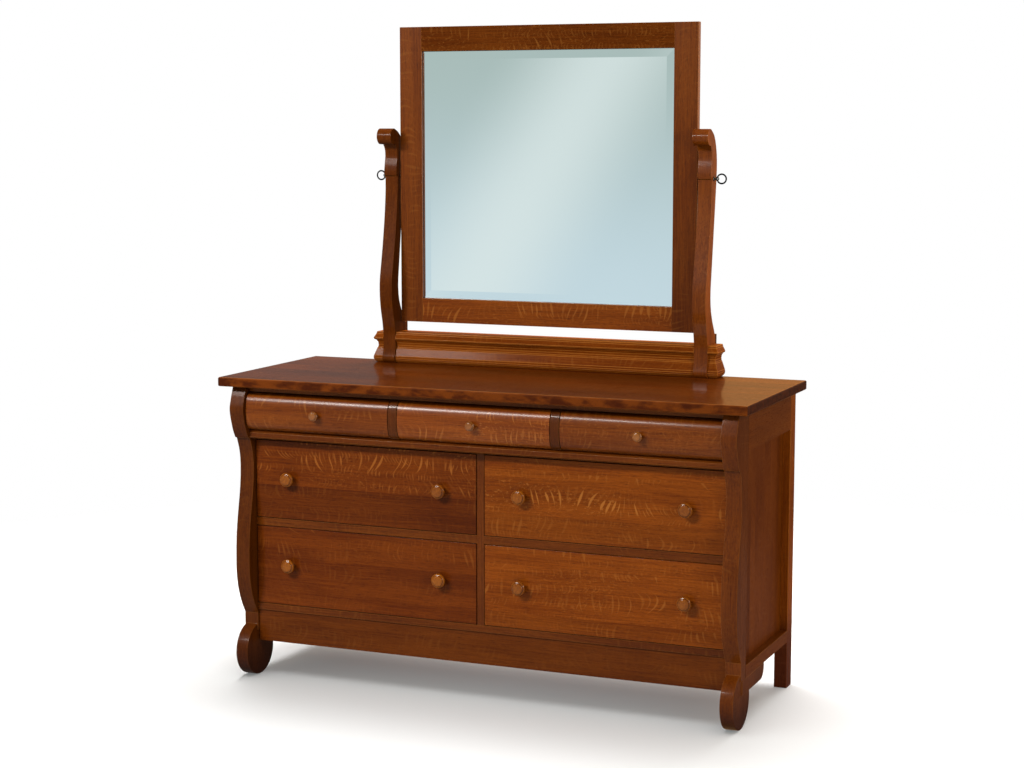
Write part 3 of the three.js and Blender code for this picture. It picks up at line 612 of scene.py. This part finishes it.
def copy_of(node):
    """A copy of a CAD node's mesh, merged, with its flat faces whole."""
    bm = bmesh.new()
    bm.from_mesh(nodes[node].data)
    bmesh.ops.remove_doubles(bm, verts=bm.verts, dist=SAME_PLACE)
    bmesh.ops.dissolve_limit(bm, angle_limit=FLAT_WITHIN, verts=bm.verts, edges=bm.edges)
    for face in bm.faces:
        face.material_index = 0
    return bm


def eased(node, material, width, body="case", glued="", sharper_than=ARRIS_ABOVE, mark="arris",
          bores=()):
    """The node's own solid with its arrises rounded, which stands for the node."""
    bm = copy_of(node)
    ease_edges(bm, width, glued, sharper_than, mark, bores)
    return finished(bm, node + "_wood", [material], body, [node],
                    min(sharper_than, SMOOTH_BELOW))


def board(bm, low, high, ease):
    """A board between two corners, its arrises rounded or left sharp, added to the bmesh."""
    size = Vector(high) - Vector(low)
    made = bmesh.ops.create_cube(bm, size=1.0)
    bmesh.ops.scale(bm, vec=size, verts=made["verts"])
    bmesh.ops.translate(bm, vec=(Vector(high) + Vector(low)) / 2, verts=made["verts"])
    edges = {e for v in made["verts"] for e in v.link_edges}
    if ease:
        bmesh.ops.bevel(bm, geom=list(edges), offset=ease, offset_type="OFFSET", segments=2, profile=0.5,
                        affect="EDGES", material=-1, clamp_overlap=True)


def turned(bm, profile, steps, place, towards):
    """A turned shape: a profile of (radius, height) spun about an axis that points towards."""
    before = set(bm.verts)
    points = [bm.verts.new((radius, 0, height)) for radius, height in profile]
    edges = [bm.edges.new(pair) for pair in zip(points, points[1:])]
    bmesh.ops.spin(bm, geom=points + edges, cent=(0, 0, 0), axis=(0, 0, 1), angle=math.tau,
                   steps=steps, use_merge=True, use_duplicate=False)
    bmesh.ops.remove_doubles(bm, verts=[v for v in bm.verts if v not in before], dist=SAME_TURNED)
    made = [v for v in bm.verts if v not in before]
    turn = Vector((0, 0, 1)).rotation_difference(Vector(towards)).to_matrix().to_4x4()
    bmesh.ops.transform(bm, matrix=Matrix.Translation(place) @ turn, verts=made)
    bmesh.ops.recalc_face_normals(bm, faces=list({f for v in made for f in v.link_faces}))


def arc(centre, radius, start, end, steps):
    """Points of an arc in the profile plane, from one angle to another in degrees."""
    angles = [math.radians(start + (end - start) * i / steps) for i in range(steps + 1)]
    return [(centre[0] + radius * math.cos(a), centre[1] + radius * math.sin(a)) for a in angles]


# Case

def make_top():
    """The top board, with its own figure on the front edge and end grain at its ends."""
    bm = copy_of("top_board")
    ease_edges(bm, EDGE_EASE)
    for face in bm.faces:
        if abs(face.normal.x) > LEANS_TO:
            face.material_index = 2
        elif abs(face.normal.y) > LEANS_TO:
            face.material_index = 1
    finished(bm, "top_board_wood", [TOP_OAK, TOP_EDGE_OAK, END_GRAIN_OAK], "case", ["top_board"])


def make_case():
    """The boards of the case, each rounded where nothing is glued to it."""
    make_top()
    for side, _ in SIDES:
        eased(f"front_post_{side}", FRONT_POST_OAK[side], POST_EASE)
        eased(f"rear_post_{side}", REAR_POST_OAK, LEG_EASE, glued="z")
        eased(f"side_bottom_rail_{side}", SIDE_RAIL_OAK, SIDE_RAIL_EASE, glued="y")
        eased(f"side_top_rail_{side}", SIDE_RAIL_OAK, SIDE_RAIL_EASE, glued="yz")
        eased(f"side_panel_{side}", SIDE_OAK, PANEL_EASE, glued="yz")
        eased(f"web_board_{side}", RAIL_OAK, FRAME_EASE, glued="x")
        eased(f"small_divider_{side}", DIVIDER_OAK, EDGE_EASE, glued="z")
    eased("back_panel", BACK_PANEL, SHEET_EASE)
    eased("top_rail", TOP_RAIL_LIT_OAK, MOULDING_EASE, glued="xz")
    eased("frieze_moulding", RAIL_OAK, MOULDING_EASE, glued="x")
    eased("apron", APRON_OAK, EDGE_EASE, glued="xz")
    eased("web_board_base", RAIL_OAK, FRAME_EASE, glued="x")
    eased("web_board_frieze", RAIL_OAK, FRAME_EASE, glued="x")
    eased("centre_partition", POST_OAK, FRAME_EASE, glued="z")


# Drawers

KNOB_SHARES = [  # of the head's radius and of the knob's length
    (0.60, 0.0), (0.60, 0.05), (0.52, 0.09), (0.44, 0.14), (0.405, 0.20), (0.40, 0.28), (0.44, 0.35),
    (0.54, 0.42), (0.70, 0.475), (0.86, 0.51), (0.95, 0.55), (0.995, 0.61), (1.0, 0.67), (0.975, 0.74),
    (0.93, 0.79), (0.86, 0.83), (0.79, 0.85), (0.765, 0.862), (0.755, 0.885), (0.73, 0.925), (0.66, 0.955),
    (0.52, 0.98), (0.34, 0.993), (0.16, 1.0), (0.0, 1.0),
]
KNOB_STEPS = 56
COVE_END_SHARE = 0.47
STEP_SHARES = (0.845, 0.9)  # of the knob's length, between which the step round its face lies


def make_knob(node, body, material):
    """A turned knob with a cove behind its head and a step round its face."""
    low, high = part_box(node)
    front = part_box(body + "_front")[0].y
    radius = (high.x - low.x) / 2
    length = front - low.y
    bm = bmesh.new()
    profile = [(0.0, 0.0)] + [(out * radius, up * length) for out, up in KNOB_SHARES]
    turned(bm, profile, KNOB_STEPS, ((low.x + high.x) / 2, front, (low.z + high.z) / 2), (0, -1, 0))
    # The cove behind the head and the step round the face are darkened: glaze and painted shade.
    glaze_and_shade = bm.verts.layers.float.new("glaze_and_shade")
    for vert in bm.verts:
        share = (front - vert.co.y) / length
        hollow = share < COVE_END_SHARE or STEP_SHARES[0] < share < STEP_SHARES[1]
        vert[glaze_and_shade] = 1.0 if hollow else 0.0
    finished(bm, node + "_turned", [material], body, [node], KNOB_SMOOTH_BELOW)


BOX_WALL = 12 * MM
TAIL_PITCH = 42 * MM  # about, since a whole number of tails fills the side
TAIL_SLOPE = 1.6 * MM
PIN_SHARE = 0.3  # of the pitch
PROUD = 0.12 * MM  # by which the sides stand proud of the ends
GROOVE_DEPTH = 4 * MM
BOTTOM_LIFT = 3 * MM
BOTTOM_THICK = 6 * MM


def tailed_side(bm, x0, x1, y0, y1, z0, z1):
    """A drawer side with dovetail tails at both ends."""
    tails = max(2, round((z1 - z0) / TAIL_PITCH))
    pitch = (z1 - z0) / tails
    pin = pitch * PIN_SHARE

    def end(plane, inward):
        inner = plane + inward * BOX_WALL
        outline = [(inner, z0)]
        for i in range(tails):
            tail_low, tail_high = z0 + i * pitch + pin / 2, z0 + (i + 1) * pitch - pin / 2
            outline += [(inner, tail_low), (plane, tail_low - TAIL_SLOPE),
                        (plane, tail_high + TAIL_SLOPE), (inner, tail_high)]
        return outline + [(inner, z1)]

    front, rear = end(y0, 1), end(y1, -1)
    outline = front + rear[::-1]
    corners = [bm.verts.new((x0, y, z)) for y, z in outline]
    face = bm.faces.new(corners)
    made = bmesh.ops.extrude_face_region(bm, geom=[face])
    verts = [item for item in made["geom"] if isinstance(item, bmesh.types.BMVert)]
    bmesh.ops.translate(bm, vec=(x1 - x0, 0, 0), verts=verts)


def make_box(drawer):
    """The four dovetailed boards of a drawer box, and its bottom in a groove."""
    node = drawer + "_box"
    low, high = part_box(node)
    sides = bmesh.new()
    tailed_side(sides, low.x, low.x + BOX_WALL, low.y, high.y, low.z, high.z)
    tailed_side(sides, high.x - BOX_WALL, high.x, low.y, high.y, low.z, high.z)
    bmesh.ops.remove_doubles(sides, verts=sides.verts, dist=SAME_TURNED)
    bmesh.ops.recalc_face_normals(sides, faces=sides.faces)
    finished(sides, node + "_sides", [BOX_OAK], drawer, [node])
    ends = bmesh.new()
    for y0, y1 in ((low.y + PROUD, low.y + BOX_WALL), (high.y - BOX_WALL, high.y - PROUD)):
        board(ends, (low.x + PROUD, y0, low.z), (high.x - PROUD, y1, high.z - PROUD), BOX_EASE)
    for face in ends.faces:
        if abs(face.normal.x) > SQUARE_TO:
            face.material_index = 1
    finished(ends, node + "_ends", [BOX_END_OAK, BOX_END_GRAIN], drawer)
    base = bmesh.new()
    inset = BOX_WALL - GROOVE_DEPTH
    board(base, (low.x + inset, low.y + inset, low.z + BOTTOM_LIFT),
          (high.x - inset, high.y - inset, low.z + BOTTOM_LIFT + BOTTOM_THICK), 0)
    finished(base, node + "_bottom", [BOX_VENEER], drawer)


def make_drawers():
    """Every drawer's front, knobs and box."""
    for drawer in WIDE_DRAWERS:
        knobs = [f"{drawer}_knob_{side}" for side, _ in SIDES]
        # The front's arrises are darkened: a painted shade line in the gap round it.
        eased(drawer + "_front", DRAWER_FRONTS[drawer], WIDE_FRONT_EASE, drawer, mark="glaze_and_shade",
              bores=[(knob, "y") for knob in knobs])
        for knob in knobs:
            make_knob(knob, drawer, KNOB_OAK)
        make_box(drawer)
    for drawer in SMALL_DRAWERS:
        # The front's arrises are darkened: a painted shade line in the gap round it.
        eased(drawer + "_front", SMALL_FRONTS[drawer], LEG_EASE, drawer, mark="glaze_and_shade")
        make_knob(f"{drawer}_knob", drawer, SMALL_KNOB_OAK)
        make_box(drawer)


# Mirror and its stand

def make_stand():
    """The plinth, which comes back for the lights, with the harp posts and their cleats."""
    plinth = eased("mirror_plinth", PLINTH_OAK, MOULDING_EASE,
                   sharper_than=MOULDING_ARRIS_ABOVE)
    for side, sign in SIDES:
        harp = copy_of(f"harp_post_{side}")
        ease_edges(harp, FRAME_EASE, bores=[(f"thumb_screw_{side}", "x")])
        # The outer faces take the lighter oak, which is painted light.
        for face in harp.faces:
            if face.normal.x * sign > SQUARE_TO:
                face.material_index = 1
        finished(harp, f"harp_post_{side}_wood", [HARP_OAK[side], HARP_SIDE_LIT_OAK], "case",
                 [f"harp_post_{side}"])
        eased(f"rear_cleat_{side}", POST_OAK, LEG_EASE)
    return plinth


def make_mirror():
    """The mirror's frame and backing board. The glass stays the CAD node and only gets its material."""
    for side, _ in SIDES:
        stile = copy_of(f"mirror_stile_{side}")
        ease_edges(stile, FRAME_EASE)
        # The side faces take the lighter oak, which is a painted sheen.
        for face in stile.faces:
            if abs(face.normal.x) > SQUARE_TO:
                face.material_index = 1
        finished(stile, f"mirror_stile_{side}_wood", [FRAME_STILE_OAK, FRAME_SIDE_LIT_OAK], "mirror",
                 [f"mirror_stile_{side}"])
    eased("mirror_top_rail", FRAME_TOP_OAK, FRAME_EASE, "mirror", glued="x")
    eased("mirror_bottom_rail", FRAME_BOTTOM_OAK, FRAME_EASE, "mirror", glued="x")
    nodes["mirror_glass"].data.materials.clear()
    nodes["mirror_glass"].data.materials.append(GLASS)
    eased("mirror_backboard", HARDBOARD, SHEET_EASE, "mirror")


SCREW_RADIUS = 4 * MM
TIP_CHAMFER = 0.6 * MM
HARP_ROLL_PROUD = 3 * MM  # by which the roll at the harp post's top stands out past its faces
COLLAR_RADIUS = 7 * MM
COLLAR_LENGTH = 4 * MM
COLLAR_ROUND = 0.8 * MM
COLLAR_EDGE = 1.2 * MM  # from the harp post to the middle of the collar's rounding
COLLAR_ROWS = 4
NECK = 2.6 * MM  # from the harp post to the narrow place before the ball
NECK_INSET = 0.4 * MM
BALL_RADIUS = 6 * MM
BALL_FROM = -52  # degrees, where the neck meets the ball
BALL_ROWS = 18
WIRE_RADIUS = 2.3 * MM
SCREW_STEPS = 32
RING_STEPS = 40
WIRE_STEPS = 14


def make_screw(side, sign):
    """A thumb screw: shank, rounded collar against the harp post, ball and ring."""
    node = f"thumb_screw_{side}"
    low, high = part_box(node)
    pivot = (low + high) / 2
    tip = min(abs(low.x), abs(high.x))
    reach = high.x - low.x
    harp_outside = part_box("harp_post_right")[1].x
    face = harp_outside - HARP_ROLL_PROUD - tip
    ball = face + COLLAR_LENGTH + BALL_RADIUS
    bm = bmesh.new()
    profile = [(0, 0), (SCREW_RADIUS - TIP_CHAMFER, 0), (SCREW_RADIUS, TIP_CHAMFER), (SCREW_RADIUS, face)]
    profile += [(COLLAR_RADIUS, face)]
    profile += arc((COLLAR_RADIUS - COLLAR_ROUND, face + COLLAR_EDGE), COLLAR_ROUND, 0, 90, COLLAR_ROWS)
    profile += [(SCREW_RADIUS - NECK_INSET, face + NECK)]
    profile += arc((0, ball), BALL_RADIUS, BALL_FROM, 90, BALL_ROWS)
    turned(bm, profile, SCREW_STEPS, (sign * tip, pivot.y, pivot.z), (sign, 0, 0))
    ring_radius = (high.z - low.z) / 2 - WIRE_RADIUS
    centre = Vector((sign * (tip + reach - ring_radius - WIRE_RADIUS), pivot.y, pivot.z))
    wire_circle = bmesh.ops.create_circle(bm, segments=WIRE_STEPS, radius=WIRE_RADIUS)["verts"]
    bmesh.ops.translate(bm, vec=centre + Vector((ring_radius, 0, 0)), verts=wire_circle)
    # Known fault: this turn lays the circle in the plane in which it is swept, so the ring comes out flat
    bmesh.ops.rotate(bm, cent=centre + Vector((ring_radius, 0, 0)), verts=wire_circle,
                     matrix=Matrix.Rotation(math.pi / 2, 3, "X") @ Matrix.Rotation(math.pi / 2, 3, "Z"))
    edges = list({e for v in wire_circle for e in v.link_edges})
    bmesh.ops.spin(bm, geom=wire_circle + edges, cent=centre, axis=(0, 1, 0), angle=math.tau,
                   steps=RING_STEPS, use_merge=True, use_duplicate=False)
    bmesh.ops.remove_doubles(bm, verts=bm.verts, dist=SAME_TURNED)
    bmesh.ops.recalc_face_normals(bm, faces=bm.faces)
    finished(bm, node + "_turned", [PEWTER], node, [node])


SCREW_HEAD_SHARES = [  # of the head's radius
    (0.0, 0.0), (1.0, 0.0), (0.96, 0.14), (0.8, 0.3), (0.5, 0.4), (0.42, 0.4), (0.34, 0.12), (0.0, 0.08),
]
SCREW_HEAD_STEPS = 24
CLEAT_SCREW = 4 * MM
SMALL_SCREW = 3 * MM
CLEAT_SCREW_HEIGHTS = (30 * MM, 130 * MM, 220 * MM, 290 * MM)
BACK_SCREWS = 9
BACK_SCREW_INSET = 30 * MM
BACK_SCREW_EDGE = 12 * MM
BUTTON_LONG = 13 * MM
BUTTON_SHORT = 4.5 * MM
BUTTON_THICK = 1.2 * MM
BUTTON_HEIGHTS = (1.2, 1.476, 1.75)
BUTTON_SPREAD = 0.2


def screw_head(bm, place, radius):
    """A round screw head with a driver recess, on a face that looks to the rear."""
    profile = [(radius * out, radius * up) for out, up in SCREW_HEAD_SHARES]
    turned(bm, profile, SCREW_HEAD_STEPS, place, (0, 1, 0))


def make_rear_fixings():
    """Screws in the cleats and the back panel, and turn buttons that hold the mirror's backing board."""
    cleats = bmesh.new()
    for side, _ in SIDES:
        low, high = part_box(f"rear_cleat_{side}")
        for height in CLEAT_SCREW_HEIGHTS:
            screw_head(cleats, ((low.x + high.x) / 2, high.y, low.z + height), CLEAT_SCREW)
    finished(cleats, "cleat_screws", [STEEL], "case")
    back_low, back_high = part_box("back_panel")
    width = back_high.x - back_low.x - 2 * BACK_SCREW_INSET
    heads = bmesh.new()
    for i in range(BACK_SCREWS):
        x = back_low.x + BACK_SCREW_INSET + width * i / (BACK_SCREWS - 1)
        for z in (back_low.z + BACK_SCREW_EDGE, back_high.z - BACK_SCREW_EDGE):
            screw_head(heads, (x, back_high.y, z), SMALL_SCREW)
    finished(heads, "back_panel_screws", [STEEL], "case")
    board_low, board_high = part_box("mirror_backboard")
    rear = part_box("mirror_stile_left")[1].y
    outside = rear + BUTTON_THICK
    buttons = bmesh.new()
    places = [(sign * board_high.x, z, BUTTON_LONG, BUTTON_SHORT)
              for _, sign in SIDES for z in BUTTON_HEIGHTS]
    places += [(x, z, BUTTON_SHORT, BUTTON_LONG) for x in (-BUTTON_SPREAD, BUTTON_SPREAD)
               for z in (board_low.z, board_high.z)]
    for x, z, wide, tall in places:
        board(buttons, (x - wide, rear, z - tall), (x + wide, outside, z + tall), BUTTON_EASE)
        screw_head(buttons, (x, outside, z), SMALL_SCREW)
    finished(buttons, "mirror_turn_buttons", [STEEL], "mirror")


# Studio

FLOOR_RADIUS = 3.4
FLOOR_STEPS = 96
FLOOR_FADES_FROM = 1.7
FLOOR_FADED = FLOOR_RADIUS - 0.1
FLOOR_IN_REFLECTIONS = 0.08  # how solid it is for reflected rays
FLOOR_TINTS = ((0.9, 0.9, 0.9, 1), (0.93, 0.93, 0.93, 1))
FLOOR_CLOUDS = (0.4, 0.4, 0.4)  # to a metre
FLOOR_ROUGHNESS = 0.9


def make_floor():
    """A pale disc that fades into the white surround."""
    bm = bmesh.new()
    bmesh.ops.create_circle(bm, cap_ends=True, segments=FLOOR_STEPS, radius=FLOOR_RADIUS)
    mesh = bpy.data.meshes.new("studio_floor")
    bm.to_mesh(mesh)
    bm.free()
    floor = bpy.data.objects.new("studio_floor", mesh)
    bpy.context.scene.collection.objects.link(floor)
    material, tree, finish = new_material("white studio floor")
    place = object_place(tree)
    cloud = noise(tree, place, FLOOR_CLOUDS)
    tree.links.new(mixed(tree, cloud, *FLOOR_TINTS), finish.inputs["Base Color"])
    finish.inputs["Roughness"].default_value = FLOOR_ROUGHNESS
    finish.inputs["Specular IOR Level"].default_value = 0.0
    away = wire(tree, "VectorMath", {0: place}, operation="LENGTH").outputs["Value"]
    solid = spread(tree, away, FLOOR_FADES_FROM, FLOOR_FADED, 1.0, 0.0)
    glossy = wire(tree, "LightPath").outputs["Is Glossy Ray"]
    solid = times(tree, solid, spread(tree, glossy, 0.0, 1.0, 1.0, FLOOR_IN_REFLECTIONS))
    tree.links.new(solid, finish.inputs["Alpha"])
    mesh.materials.append(material)
    return floor


NEUTRAL = (1.0, 1.0, 1.0)
WARM = (1.0, 0.97, 0.93)
COOL = (0.93, 0.97, 1.0)
ABOVE = (-0.5, 1.35, 4.4)
FRONT_LAMPS = (  # name, place, aim, size and watts
    ("key softbox", (-2.7, -3.6, 3.4), (0, 0, 0.7), (1.0, 1.0), 125),
    ("strip before the drawers", (-1.65, -3.5, 3.3), (-1.65, -0.3, 0.8), (1.9, 0.35), 165),
    ("right softbox", (4.0, -1.6, 2.0), (0, 0, 0.7), (0.7, 1.8), 75),
)
OTHER_LAMPS = (
    ("top softbox", ABOVE, (0.1, -0.1, 0), (3.2, 2.2), 165),
    ("top softbox for the wood", ABOVE, (0.1, -0.1, 0), (3.2, 2.2), 170),
    ("rear softbox", (1.0, 4.2, 3.0), (0, 0, 0.8), (2.0, 1.4), 60),
)
FLOOR_LAMP = ("floor fill", (0, -0.5, 4.0), (0, -0.5, 0), (5.0, 5.0), 158)


def area_light(name, place, aim, size, watts, colour=NEUTRAL):
    """A softbox that isn't seen itself."""
    light = bpy.data.lights.new(name, "AREA")
    light.shape = "RECTANGLE"
    light.size, light.size_y = size
    light.energy = watts
    light.color = colour
    lamp = bpy.data.objects.new(name, light)
    bpy.context.scene.collection.objects.link(lamp)
    lamp.location = place
    lamp.rotation_euler = (Vector(aim) - Vector(place)).to_track_quat("-Z", "Y").to_euler()
    lamp.visible_camera = False
    return lamp


def spare(lamp, *pieces):
    """The lamp doesn't light these pieces."""
    spared = bpy.data.collections.new("spared by the " + lamp.name)
    for i, piece in enumerate(pieces):
        spared.objects.link(piece)
        spared.collection_objects[i].light_linking.link_state = "EXCLUDE"
    lamp.light_linking.receiver_collection = spared


def make_lights(floor, plinth):
    """Softboxes in front for the wood alone, others above and behind, and a fill for the floor alone. The
    strip spares the plinth too, so that it draws no bright line there."""
    glass = nodes["mirror_glass"]
    for name, place, aim, size, watts in FRONT_LAMPS:
        lamp = area_light(name, place, aim, size, watts, WARM)
        spare(lamp, floor, glass, *([plinth] if name.startswith("strip") else []))
    for name, place, aim, size, watts in OTHER_LAMPS:
        lamp = area_light(name, place, aim, size, watts)
        lamp.visible_glossy = False
        if name.endswith("wood"):
            spare(lamp, floor)
    fill = area_light(*FLOOR_LAMP, COOL)
    fill.visible_glossy = False
    lit = bpy.data.collections.new("lit by the floor fill")
    lit.objects.link(floor)
    fill.light_linking.receiver_collection = lit
    fill.light_linking.blocker_collection = lit


# Colours of the surround, by where a ray leaves to
LOW_FRONT = (0.60, 0.73, 0.79, 1)
HIGH_FRONT = (0.44, 0.54, 0.52, 1)
BAND = (0.78, 0.86, 0.85, 1)
REAR_LEFT = (0.2, 0.2, 0.2, 1)
REAR = (0.8, 0.4, 0.14, 1)
RIGHT_LOW = (0.04, 0.04, 0.04, 1)
RIGHT = (0.92, 0.58, 0.38, 1)
CEILING = (0.32, 0.28, 0.23, 1)
BAND_NORMAL = (-0.7996, 0.3166, 0.5104)  # of the plane in which the pale band in front of the mirror lies
BAND_OFFSET = 0.004
BAND_STRENGTH = 0.75
BAND_HALF = 0.05

# Parts of a ray's direction between which each of these takes over
LOW_FRONT_FROM = (0.04, -0.09)
FRONT_FROM = (0.2, -0.5)
REAR_FROM = (-0.46, -0.34)
RIGHT_FROM = (-0.1, 0.2)
ABOVE_LOW_FROM = (-0.1, -0.07)
CEILING_FROM = (0.2, 0.75)


def make_surround():
    """White where the camera looks. Reflections and soft light find a cool front with a pale band across it,
    and a warm rear and right, dim at the rear left and low on the right."""
    world = bpy.data.worlds.new("studio surround")
    bpy.context.scene.world = world
    world.use_nodes = True
    tree = world.node_tree
    tree.nodes.clear()
    ray = wire(tree, "LightPath").outputs["Is Camera Ray"]
    towards = wire(tree, "TexCoord").outputs["Generated"]
    split = wire(tree, "SeparateXYZ", {0: towards}).outputs
    front = mixed(tree, spread(tree, split["Z"], *LOW_FRONT_FROM), HIGH_FRONT, LOW_FRONT)
    along = wire(tree, "VectorMath", {0: towards, 1: BAND_NORMAL}, operation="DOT_PRODUCT").outputs["Value"]
    beside = calc(tree, "ABSOLUTE", plus(tree, along, BAND_OFFSET))
    front = mixed(tree, spread(tree, beside, BAND_HALF, 0.0, 0.0, BAND_STRENGTH), front, BAND)
    rear = mixed(tree, spread(tree, split["X"], *REAR_FROM), REAR_LEFT, REAR)
    right = mixed(tree, spread(tree, split["Z"], *ABOVE_LOW_FROM), RIGHT_LOW, RIGHT)
    rear = mixed(tree, spread(tree, split["X"], *RIGHT_FROM), rear, right)
    around = mixed(tree, spread(tree, split["Y"], *FRONT_FROM), rear, front)
    around = mixed(tree, spread(tree, split["Z"], *CEILING_FROM), around, CEILING)
    surround = wire(tree, "Background", {"Color": around, "Strength": 1.0}).outputs[0]
    backdrop = wire(tree, "Background", {"Color": (1, 1, 1, 1), "Strength": 1.0}).outputs[0]
    chosen = wire(tree, "MixShader", {0: ray, 1: surround, 2: backdrop}).outputs[0]
    tree.links.new(chosen, tree.nodes.new("ShaderNodeOutputWorld").inputs[0])


# The camera, as solved from the photograph
LENS = 72.21  # millimetres, and so is the sensor
SENSOR_WIDTH = 36
CAMERA_PLACE = (2.3054, -5.4442, 1.6389)
CAMERA_DIP = 7.2687  # degrees, and so is the turn
CAMERA_TURN = 22.9386


def make_camera():
    """The camera at the photograph's place and angle."""
    data = bpy.data.cameras.new("photographer")
    data.lens = LENS
    data.sensor_width = SENSOR_WIDTH
    camera = bpy.data.objects.new("photographer", data)
    bpy.context.scene.collection.objects.link(camera)
    camera.location = CAMERA_PLACE
    camera.rotation_euler = Euler((math.radians(90 - CAMERA_DIP), 0, math.radians(CAMERA_TURN)))
    bpy.context.scene.camera = camera


make_case()
make_drawers()
mirror_plinth = make_stand()
make_mirror()
for screw_side, screw_sign in SIDES:
    make_screw(screw_side, screw_sign)
make_rear_fixings()
make_lights(make_floor(), mirror_plinth)
make_surround()
make_camera()
bpy.context.scene.view_settings.view_transform = "Standard"
